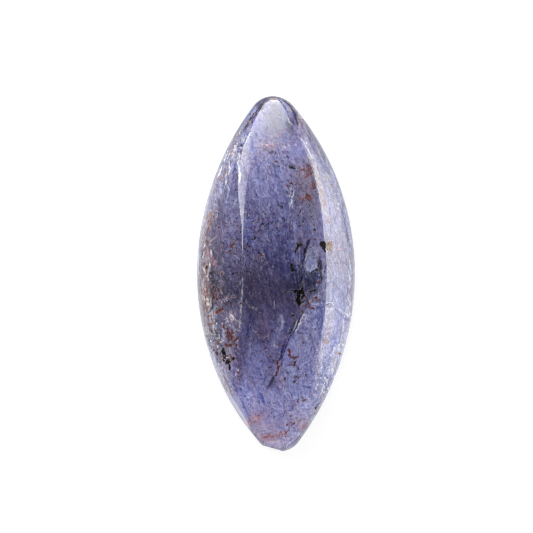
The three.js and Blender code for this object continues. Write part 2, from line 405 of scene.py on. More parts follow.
# Soft colour zones: x and y of the middle and both half sizes in photograph pixels, turn in degrees,
# how abrupt the border is, and the share of red, green and blue light, or of all, that gets through.
# the dark zones round x 286 to 298, y 108 to 140 paint the shadow beside the milky patch at the upper tip:
# painted shade
tintOvals = [
    (262, 292, 92, 80, 0, 1, (0.36, 0.315, 0.33)), (266, 290, 46, 46, 0, 1.6, (0.76, 0.75, 0.76)),
    (268, 276, 12, 7, 0, 1.4, (1.35, 1.35, 1.25)), (300, 278, 14, 18, 0, 1.4, (0.66, 0.67, 0.68)),
    (226, 292, 16, 20, 0, 1.4, (0.8, 0.8, 0.82)), (286, 264, 9, 14, 0, 1.4, (0.76, 0.82, 0.92)),
    (278, 248, 26, 10, 0, 1.4, 0.78), (290, 210, 10, 14, 0, 1.4, 0.8),
    (308, 212, 9, 12, 0, 1.4, (0.82, 0.82, 0.8)), (265, 172, 16, 14, 0, 1.4, (1.2, 1.2, 0.98)),
    (248, 142, 8, 16, 10, 1.4, (0.82, 0.84, 0.86)), (290, 124, 6, 9, -10, 1.6, (0.56, 0.56, 0.6)),
    (297, 360, 16, 30, 10, 1.4, (1.12, 1.05, 0.96)), (304, 185, 16, 30, 0, 1.4, (1.1, 1, 0.82)),
    (258, 287, 72, 30, 0, 1.4, (0.5, 0.45, 0.42)), (300, 284, 26, 12, 0, 1.3, (0.56, 0.57, 0.64)),
    (245, 290, 14, 24, 0, 1.2, (0.72, 0.68, 0.7)), (291, 300, 9, 12, 0, 1.3, (0.76, 0.78, 0.8)),
    (292, 248, 10, 14, 0, 1.3, (0.78, 0.8, 0.82)), (264, 262, 14, 12, 0, 1.3, (0.8, 0.8, 0.82)),
    (276, 447, 26, 12, 0, 1.5, (0.76, 0.7, 0.7)), (296, 228, 22, 22, 0, 1.2, (0.84, 0.86, 0.86)),
    (250, 352, 24, 36, 8, 1.2, (0.62, 0.54, 0.62)), (241, 350, 9, 30, 4, 1.5, (0.82, 0.76, 0.82)),
    (266, 372, 14, 30, 14, 1.2, (0.86, 0.84, 0.88)), (278, 430, 36, 26, 0, 1.5, (0.68, 0.6, 0.62)),
    (262, 420, 16, 12, 0, 1, (0.84, 0.72, 0.72)), (217, 270, 11, 62, 0, 1.3, (0.78, 0.68, 0.6)),
    (224, 292, 14, 26, 0, 1.3, (0.74, 0.64, 0.62)), (250, 205, 6, 26, 4, 1.2, (0.74, 0.78, 0.88)),
    (287, 157, 7, 11, 0, 1.3, (0.66, 0.68, 0.88)), (303, 136, 7, 20, -20, 1, (0.86, 0.84, 0.88)),
    (311, 369, 5, 9, 10, 1.5, (0.6, 0.62, 0.84)), (303, 385, 12, 8, 0, 1.2, (0.8, 0.84, 0.96)),
    (290.5, 408, 3.5, 4.5, 0, 1.6, (0.46, 0.46, 0.72)), (276, 396, 5, 6, 0, 1.2, (0.76, 0.78, 0.9)),
    (325, 345, 8, 20, 10, 1.2, (0.88, 0.9, 0.96)), (309, 285, 12, 13, 0, 1.6, (0.6, 0.6, 0.74)),
    (297, 286, 7, 5, 0, 1.6, (0.5, 0.52, 0.64)), (304, 288, 16, 24, 0, 1.4, 0.72),
    (262, 312, 40, 36, 0, 1.2, (0.82, 0.8, 0.8)), (272, 362, 7, 20, 12, 1.3, (0.72, 0.7, 0.74)),
    (238, 346, 14, 22, 0, 1.3, (0.78, 0.68, 0.62)), (216, 296, 10, 14, 0, 1.4, (0.7, 0.66, 0.68)),
    (286, 126, 5, 12, -10, 1.3, (0.74, 0.74, 0.8)), (283, 108, 6, 10, -30, 1.3, (0.72, 0.74, 0.8)),
    (251, 138, 5, 26, 12, 1.4, (0.8, 0.82, 0.88)), (294, 199, 6, 8, 0, 1.4, (0.72, 0.72, 0.76)),
    (318, 174, 5, 10, -20, 1.4, (0.76, 0.74, 0.74)), (220, 295, 12, 14, 0, 1.4, (0.66, 0.68, 0.84)),
    (250, 310, 14, 34, 0, 1.2, (0.74, 0.74, 0.8)), (262, 260, 5, 14, 0, 1.4, (0.58, 0.6, 0.7)),
    (308, 262, 9, 14, 0, 1.4, (0.64, 0.7, 0.88)), (292, 264, 7, 12, 0, 1.4, (0.7, 0.76, 0.96)),
    (236, 245, 6, 8, 0, 1.4, (0.54, 0.56, 0.68)), (266, 379, 5, 8, 0, 1.4, (0.6, 0.62, 0.66)),
    (322, 367, 5, 9, 0, 1.4, (0.58, 0.6, 0.8)), (291, 124, 5, 8, 0, 1.4, (0.52, 0.52, 0.6)),
    (267, 338, 10, 6, 0, 1.4, (0.66, 0.62, 0.66)), (279, 352, 4, 10, 12, 1.4, (0.6, 0.6, 0.66)),
    (218, 335, 6, 8, 0, 1.4, (0.8, 0.8, 0.84)),
    # lighter zones
    (263, 310, 3, 11, 0, 1.3, 1.6), (237, 275, 5, 4, 0, 1.3, 1.5), (256, 405, 22, 14, 0, 1.2, 1.2),
    (302, 395, 12, 14, 0, 1.2, 1.2), (265, 166, 18, 18, 0, 1.3, (1.5, 1.5, 1.55)),
    (270, 194, 9, 13, 0, 1.3, 1.3), (301, 211, 4, 8, 0, 1.3, (2.1, 2.1, 2)), (253, 226, 6, 5, 0, 1.3, 1.7),
    (289, 346, 5, 14, 14, 1.3, 1.8), (292, 376, 11, 12, 0, 1.3, (1.45, 1.4, 1.3)),
    (246, 400, 13, 17, -20, 1.3, 1.4), (302, 329, 5, 7, 0, 1.3, (1.7, 1.7, 1.8)),
    (274, 275, 7, 5, 0, 1.3, (1.6, 1.55, 1.5)), (284, 150, 11, 14, 0, 1.3, 1.3),
    (228, 290, 8, 5, 0, 1.3, 1.3), (214, 258, 3, 16, 0, 1.4, (0.6, 0.6, 0.66)),
    (226, 276, 7, 8, 0, 1.4, (0.6, 0.6, 0.72)), (226, 300, 8, 5, 0, 1.4, (0.52, 0.52, 0.6)),
    (264, 264, 5, 13, 0, 1.4, (0.66, 0.66, 0.74)), (308, 272, 9, 26, 0, 1.4, (0.66, 0.68, 0.8)),
    (284, 327, 5, 5, 0, 1.4, (0.6, 0.6, 0.7)), (246, 369, 5, 10, 0, 1.4, (0.64, 0.62, 0.7)),
    (328, 352, 5, 8, 0, 1.4, (0.66, 0.68, 0.84)), (297, 199, 4, 6, 0, 1.4, (0.6, 0.58, 0.6)),
    (259, 215, 4, 10, 0, 1.4, (0.7, 0.7, 0.76)), (245, 306, 10, 12, 0, 1.4, (0.78, 0.78, 0.84)),
    (255, 335, 9, 8, 0, 1.4, (0.76, 0.76, 0.8)),
    # warmer zones
    (262, 188, 42, 52, 0, 1, (1.02, 0.98, 0.9)), (268, 285, 22, 22, 0, 1.2, (1.04, 1, 0.9)),
    (325, 168, 8, 30, -18, 1.2, (1.04, 0.98, 0.84)), (290, 125, 4, 10, 0, 1.3, (0.6, 0.6, 0.66)),
    (274, 168, 6, 18, 0, 1.3, (1.04, 1, 0.84)), (314, 195, 9, 34, -10, 1.3, (1.04, 1, 0.86)),
    (277, 150, 7, 24, 0, 1.3, (1.05, 0.98, 0.82)), (288, 187, 5, 9, 0, 1.3, (1.1, 1, 0.74)),
    (243, 210, 7, 8, 0, 1.3, (1.1, 1, 0.78)), (271, 208, 8, 11, 0, 1.3, (1.08, 1, 0.8)),
    (226, 195, 12, 22, 0, 1.2, (1, 0.94, 0.8)), (308, 300, 10, 12, 0, 1.3, (1.1, 0.98, 0.76)),
    (265, 310, 16, 14, 0, 1.3, (1.04, 0.96, 0.8)), (290, 380, 6, 8, 0, 1.3, (1.05, 0.98, 0.8)),
    # bluer zones
    (226, 305, 22, 36, 0, 1.2, (0.9, 0.95, 1.02)), (308, 205, 9, 16, 0, 1.3, (0.84, 0.92, 1.08)),
    (330, 340, 16, 56, 6, 1.3, (0.82, 0.9, 1.06)), (262, 412, 22, 12, 0, 1.3, (0.86, 0.92, 1.04)),
    (289, 271, 5, 11, 0, 1.3, (0.78, 0.86, 1.05)), (256, 405, 9, 12, 0, 1.3, (0.76, 0.84, 1.08)),
    (245, 388, 6, 12, 0, 1.3, (0.8, 0.86, 1.08)), (229, 312, 6, 8, 0, 1.3, (0.86, 0.9, 1)),
]

# Colour patches with a sharper border: the same share, half the border's width in pixels, and the
# corners as x, y, x, y ... in photograph pixels.
tintPatches = [
    ((0.76, 0.66, 0.58), 5, 296, 158, 304, 156, 312, 165, 318, 185, 321, 205, 318, 222, 300, 222, 292, 208,
     294, 185),
    # the next patch darkens the crystal below the cleavage flake: painted shadow
    ((0.4, 0.42, 0.6), 1.5, 302, 272, 312, 272, 321, 268, 322, 280, 316, 294, 304, 291),
    ((0.1, 0.1, 0.26), 0.7, 318.4, 261, 322.2, 259.5, 322.4, 266, 321, 271, 318.6, 268),
    ((0.4, 0.46, 0.66), 1, 315.5, 272, 321, 272, 321.5, 280, 316, 280),
    ((0.6, 0.6, 0.66), 2, 283, 282, 302, 284, 303, 292, 284, 292),
    ((0.56, 0.56, 0.7), 2.5, 303, 243, 308, 244, 305, 262, 302, 290, 294, 288, 290, 272, 297, 256),
    ((0.6, 0.6, 0.7), 3, 300, 306, 297, 318, 293, 330, 286, 340, 283, 330, 288, 316, 294, 306),
    ((0.62, 0.6, 0.74), 2, 291, 334, 289, 344, 285, 356, 283, 366, 277, 366, 279, 352, 283, 342),
    ((0.68, 0.74, 0.96), 3, 247, 308, 256, 312, 252, 335, 248, 364, 240, 366, 243, 335),
    ((0.84, 0.7, 0.78), 1.5, 236, 364, 244, 364, 246, 372, 240, 384, 236, 382, 234, 372),
    ((0.2, 0.17, 0.22), 1.2, 273, 375, 276.5, 378, 272.5, 386, 268, 391, 266.5, 388, 270, 380),
    ((0.24, 0.21, 0.26), 1.3, 268, 97, 272, 101, 266, 104, 262, 110, 258, 113, 255, 110, 261, 101),
    ((0.8, 0.7, 0.78), 1.3, 256, 112, 259, 116, 252, 122, 248, 121),
    ((0.68, 0.6, 0.62), 1.5, 247, 122, 250, 124, 245, 132, 242, 131),
    ((0.44, 0.5, 0.84), 1.4, 256, 118, 257, 122, 251, 132, 246, 140, 243, 150, 240, 154, 238, 151, 242,
     139, 249, 126),
    ((0.44, 0.5, 0.84), 1.5, 239, 152, 240, 156, 236, 166, 234, 182, 230, 180, 231, 168, 235, 158),
    # the next two patches paint the shadow beside the milky patch at the upper tip: painted shade
    ((0.4, 0.42, 0.62), 1.3, 291, 109, 294, 110, 298.5, 119, 298.5, 126, 294, 124, 291, 116),
    ((0.58, 0.6, 0.7), 3, 287, 114, 292, 118, 297, 124, 297, 134, 293, 143, 289, 138, 287, 130, 286, 120),
    ((0.54, 0.56, 0.74), 1.3, 274, 162, 276, 165, 278.5, 178, 275, 177),
    ((0.72, 0.66, 0.62), 3, 212, 208, 221, 214, 223, 262, 213, 270, 210, 240),
    ((0.62, 0.68, 0.9), 2, 244, 226, 252, 230, 251, 246, 245, 250),
    ((0.46, 0.5, 0.76), 1.6, 258, 391, 263, 394, 267, 402, 263, 406, 258, 399),
    ((0.58, 0.62, 0.86), 2, 234, 384, 240, 385, 247, 400, 251, 420, 247, 420, 240, 403),
    ((0.72, 0.76, 0.94), 1.5, 336, 318, 341, 318, 339, 338, 335, 352, 329, 362, 325, 375, 318, 376, 321,
     366, 328, 352, 333, 338),
    ((0.3, 0.34, 0.7), 1, 239, 143, 242, 144, 241.4, 156, 239, 160, 238.4, 150),
    ((0.44, 0.48, 0.8), 1.2, 234, 141, 236, 143, 232, 154, 230, 160, 228, 158, 230, 150),
    ((0.6, 0.64, 0.86), 1.5, 321, 306, 325, 306, 324, 335, 320, 342, 319, 325),
    ((0.5, 0.53, 0.76), 1.3, 310, 141, 314, 144, 320, 156, 326, 171, 323, 172, 315, 157, 311, 150),
    ((0.56, 0.44, 0.52), 1.5, 267, 147, 271, 148, 270, 152, 265, 151),
    ((0.58, 0.44, 0.5), 1.5, 270, 151, 274, 150, 272, 155, 269, 154),
    ((0.4, 0.4, 0.54), 1.5, 292, 262, 296, 263, 297, 272, 292, 273, 290, 268),
    ((0.66, 0.5, 0.58), 1.2, 236, 350, 246, 350, 245, 362, 242, 374, 240, 383, 237, 381, 236, 370, 235,
     360),
]

# Milky zones: the first six values as in the soft colour zones, how dense, and the colour.
hazeOvals = [
    # the first zone, dense and neutral, paints part of the back panel's white reflection on the upper tip:
    # partly painted reflection
    (275, 118, 14, 21, 6, 2, 0.66, (0.48, 0.5, 0.49)), (266, 145, 10, 3, 0, 1.4, 0.4, (0.8, 0.66, 0.72)),
    (236, 152, 7, 28, 28, 1.2, 0.42, (0.74, 0.76, 0.94)),
    (247, 150, 5, 14, 8, 1.2, 0.08, (0.72, 0.7, 0.84)), (253, 146, 3.5, 10, 0, 1.4, 0.4, (0.3, 0.34, 0.8)),
    (222, 180, 7, 22, 22, 1.2, 0.4, (0.66, 0.68, 0.88)),
    (270, 182, 16, 24, 0, 1.2, 0.34, (0.44, 0.44, 0.74)),
    (276, 154, 18, 16, 0, 1.2, 0.26, (0.54, 0.5, 0.66)), (278, 281, 5, 8, 0, 1.3, 0.1, (0.26, 0.24, 0.34)),
    (300, 150, 6, 14, 0, 1.4, 0.26, (0.36, 0.38, 0.84)), (205, 262, 5, 62, 0, 1.6, 0.52, (0.56, 0.5, 0.54)),
    (208, 218, 3, 12, 10, 1.4, 0.45, (0.62, 0.5, 0.42)),
    (207, 296, 5, 20, -4, 1.6, 0.45, (0.38, 0.31, 0.28)),
    (214, 208, 5, 12, 10, 1.4, 0.22, (0.66, 0.66, 0.8)), (268, 172, 9, 10, 0, 1.4, 0.1, (0.5, 0.5, 0.7)),
    (303, 330, 6, 8, 0, 1.4, 0.12, (0.5, 0.52, 0.86)), (322, 351, 4, 10, 4, 1.4, 0.34, (0.74, 0.78, 1)),
    (331, 368, 3, 7, 14, 1.4, 0.34, (0.8, 0.84, 1)), (212, 332, 8, 24, -14, 1.2, 0.45, (0.55, 0.53, 0.58)),
    (212, 315, 5, 9, 0, 1.4, 0.4, (0.8, 0.8, 0.86)), (231, 317, 6, 6, 0, 1.4, 0.34, (0.66, 0.54, 0.7)),
    (264, 324, 7, 9, 0, 1.6, 0.14, (0.34, 0.22, 0.34)),
    (309, 206, 12, 48, -6, 1.2, 0.14, (0.36, 0.34, 0.42)),
    (338, 330, 10, 58, 6, 1.4, 0.26, (0.56, 0.59, 0.94)),
    (332, 215, 9, 34, -12, 1.6, 0.22, (0.84, 0.84, 0.94)),
    (333, 262, 10, 20, 0, 1.4, 0.14, (0.7, 0.66, 0.74)),
    (256, 362, 9, 18, 8, 1.4, 0.18, (0.36, 0.38, 0.82)),
    (250, 402, 11, 14, 0, 1.4, 0.26, (0.44, 0.46, 0.84)), (336, 345, 11, 42, 8, 1.4, 0.28, (0.58, 0.63, 1)),
    (209, 206, 6, 24, 14, 1.4, 0.4, (0.58, 0.6, 0.86)), (206, 262, 4, 28, 0, 1.4, 0.36, (0.66, 0.6, 0.66)),
    (250, 118, 4, 12, 34, 1.4, 0.3, (0.5, 0.52, 0.74)), (334, 285, 12, 26, 0, 1.4, 0.22, (0.64, 0.68, 1)),
    (260, 170, 12, 14, 0, 1.4, 0.16, (0.5, 0.5, 0.78)), (301, 211, 3, 7, 0, 1.4, 0.16, (0.42, 0.42, 0.66)),
    (288, 347, 3, 9, 14, 1.4, 0.22, (0.48, 0.48, 0.8)), (223, 366, 6, 16, -24, 1.4, 0.3, (0.7, 0.7, 0.84)),
    (312, 238, 8, 4, 0, 1.4, 0.2, (0.46, 0.44, 0.66)), (256, 418, 8, 6, -20, 1.4, 0.42, (0.5, 0.29, 0.36)),
    (272, 437, 11, 4.5, -8, 1.6, 0.5, (0.46, 0.25, 0.31)),
    (276, 424, 16, 3, 0, 1.4, 0.16, (0.56, 0.38, 0.5)), (303, 424, 4, 5, 0, 1.4, 0.25, (0.62, 0.46, 0.54)),
]

# Milky patches: the colour, how dense, half the border's width, and the corners.
hazePatches = [
    ((0.38, 0.37, 0.54), 0.8, 0.6, 309, 244, 311.5, 243.5, 318.5, 245, 319.8, 250, 318.8, 256, 317.6, 261,
     318, 268, 316, 270, 314.5, 268.5, 313, 271.5, 311.5, 271, 309.5, 274.5, 308.3, 271.5, 306.5, 270.5,
     304.3, 266, 304.8, 260, 307.5, 252),
    ((0.28, 0.29, 0.56), 0.7, 0.7, 305, 261, 310, 259, 317, 261, 318, 268, 316, 270, 314.5, 268.5, 313,
     271.5, 311.5, 271, 309.5, 274.5, 308.3, 271.5, 306, 270),
    ((0.4, 0.41, 0.72), 0.48, 2, 306, 303.5, 316, 304.5, 325, 298, 323, 330, 319, 358, 308, 392, 288, 392,
     283, 366, 286, 350, 294, 334, 301, 318),
    ((0.46, 0.42, 0.62), 0.42, 1, 322.5, 262, 326.6, 264, 326.4, 276, 325.4, 288, 326, 300, 322, 302,
     320.6, 296, 323, 286, 321.5, 276),
    ((0.5, 0.44, 0.58), 0.3, 0.8, 323.5, 236, 326, 240, 325.5, 256, 323, 258, 322.6, 250),
    ((0.62, 0.6, 0.78), 0.4, 1.6, 207, 345, 213, 350, 223, 372, 233, 392, 230, 394, 217, 371, 206, 350),
    ((0.66, 0.64, 0.82), 0.36, 1.2, 319, 343, 328, 343, 324.5, 362, 321, 375, 313, 379, 314.6, 366),
    ((0.78, 0.82, 1), 0.45, 1.6, 333, 345, 341, 345, 338, 360, 333, 374, 329, 372, 332, 358),
    ((0.43, 0.45, 0.68), 0.8, 0.9, 230, 397, 235, 394, 241, 404, 246.4, 416, 251, 427, 249, 430, 239, 416),
    ((0.84, 0.78, 0.88), 0.35, 1.5, 325, 306, 335, 308, 334, 322, 330, 345, 322, 345, 323, 325),
    ((0.78, 0.76, 0.88), 0.42, 1.3, 344, 232, 350, 246, 352, 262, 352, 290, 350, 318, 346, 318, 347, 292,
     347, 262, 345, 245),
    ((0.66, 0.64, 0.86), 0.4, 1.4, 343, 318, 349, 322, 347, 338, 341, 354, 339, 350, 342, 335),
    ((0.48, 0.48, 0.74), 0.3, 1.3, 279, 314, 284, 316, 281, 328, 278, 337, 276, 347, 271, 348, 274, 335,
     277, 326),
    ((0.8, 0.72, 0.66), 0.34, 1.5, 308, 149, 313, 156, 321, 180, 326, 200, 328, 216, 323, 214, 318, 190,
     312, 165),
    ((0.62, 0.6, 0.7), 0.35, 2, 212, 362, 222, 366, 232, 388, 233, 396, 228, 394),
    ((0.6, 0.6, 0.82), 0.3, 2, 326, 384, 330, 384, 322, 402, 310, 424, 304, 432, 302, 425, 314, 404),
    ((0.4, 0.38, 0.6), 0.3, 1.3, 297, 248, 301, 247, 300, 258, 297, 266, 294, 264),
    ((0.46, 0.44, 0.66), 0.16, 2.5, 262, 186, 270, 186, 268, 214, 262, 226, 258, 224, 261, 205),
    ((0.3, 0.33, 0.6), 0.42, 1.3, 250, 108, 255, 112, 249, 126, 243, 141, 239, 144, 241, 132, 245, 120),
    ((0.3, 0.31, 0.48), 0.45, 1.2, 229, 146, 233, 149, 222, 176, 212, 208, 207, 236, 204, 236, 208, 206,
     216, 176),
    ((0.6, 0.62, 0.92), 0.4, 0.8, 326, 158, 334, 174, 340, 192, 345.5, 212, 350, 232, 352, 250, 350, 252,
     347.6, 234, 343, 212, 337.5, 193, 331, 175, 324, 160),
]

# Where the crystal is crackled: the same first six values, and how much.
crackleOvals = [
    (338, 330, 16, 80, 10, 1.6, 0.45), (312, 368, 26, 38, 20, 1.4, 1), (315, 318, 14, 20, 0, 1.4, 1.1),
    (336, 235, 12, 60, -8, 1.4, 0.5), (228, 335, 14, 24, -10, 1.2, 0.6), (300, 262, 8, 22, 0, 1.4, 0.5),
]

# Calm zones, where the crystal is smooth: the same first six values, and how much.
calmOvals = [
    (270, 120, 20, 24, 6, 1.8, 0.85), (333, 218, 12, 46, -12, 1.8, 0.95), (335, 300, 12, 60, 4, 1.8, 0.5),
    (300, 352, 14, 14, 0, 1.6, 0.5), (240, 410, 7, 20, -28, 1.8, 0.9), (304, 410, 10, 16, 20, 1.6, 0.5),
    (274, 300, 30, 24, 0, 1.4, 0.35), (290, 290, 14, 10, 0, 1.4, 0.5), (345, 338, 4, 20, 8, 1.6, 0.6),
    (216, 235, 4, 20, 0, 1.6, 0.5), (300, 150, 6, 16, 0, 1.6, 0.5), (270, 428, 34, 22, 0, 1.6, 0.4),
]

# Inks of the drawn lines, in the order in which they are laid on: the share of light that gets through,
# how dense the milk is, and its colour. The first six only tint, and the last one does both.
inks = {
    "blue": ((0.52, 0.56, 0.86), 0.0, 0),
    "slate": ((0.30, 0.34, 0.62), 0.0, 0),
    "grey": ((0.50, 0.52, 0.54), 0.0, 0),
    "umber": ((0.12, 0.08, 0.08), 0.0, 0),
    "navy": ((0.07, 0.07, 0.20), 0.0, 0),
    "brown": ((0.40, 0.26, 0.22), 0.0, 0),
    "dim": (1, 0.50, (0.34, 0.34, 0.58)),
    "pale": (1, 0.62, (0.62, 0.62, 0.86)),
    "cream": (1, 0.75, (0.62, 0.56, 0.52)),
    "rose": (1, 0.60, (0.56, 0.26, 0.29)),
    "tan": (1, 0.75, (0.46, 0.28, 0.20)),
    # white is partly white inclusions and partly painted highlights and glints
    "white": (1, 0.90, (1.0, 1.0, 1.0)),
    "clay": (1, 0.58, (0.33, 0.18, 0.15)),
    "brick": (1, 0.82, (0.25, 0.052, 0.045)),
    "rust": (1, 0.93, (0.11, 0.012, 0.014)),
    "black": ((0.002, 0.002, 0.002), 0.97, (0.006, 0.004, 0.006)),
}

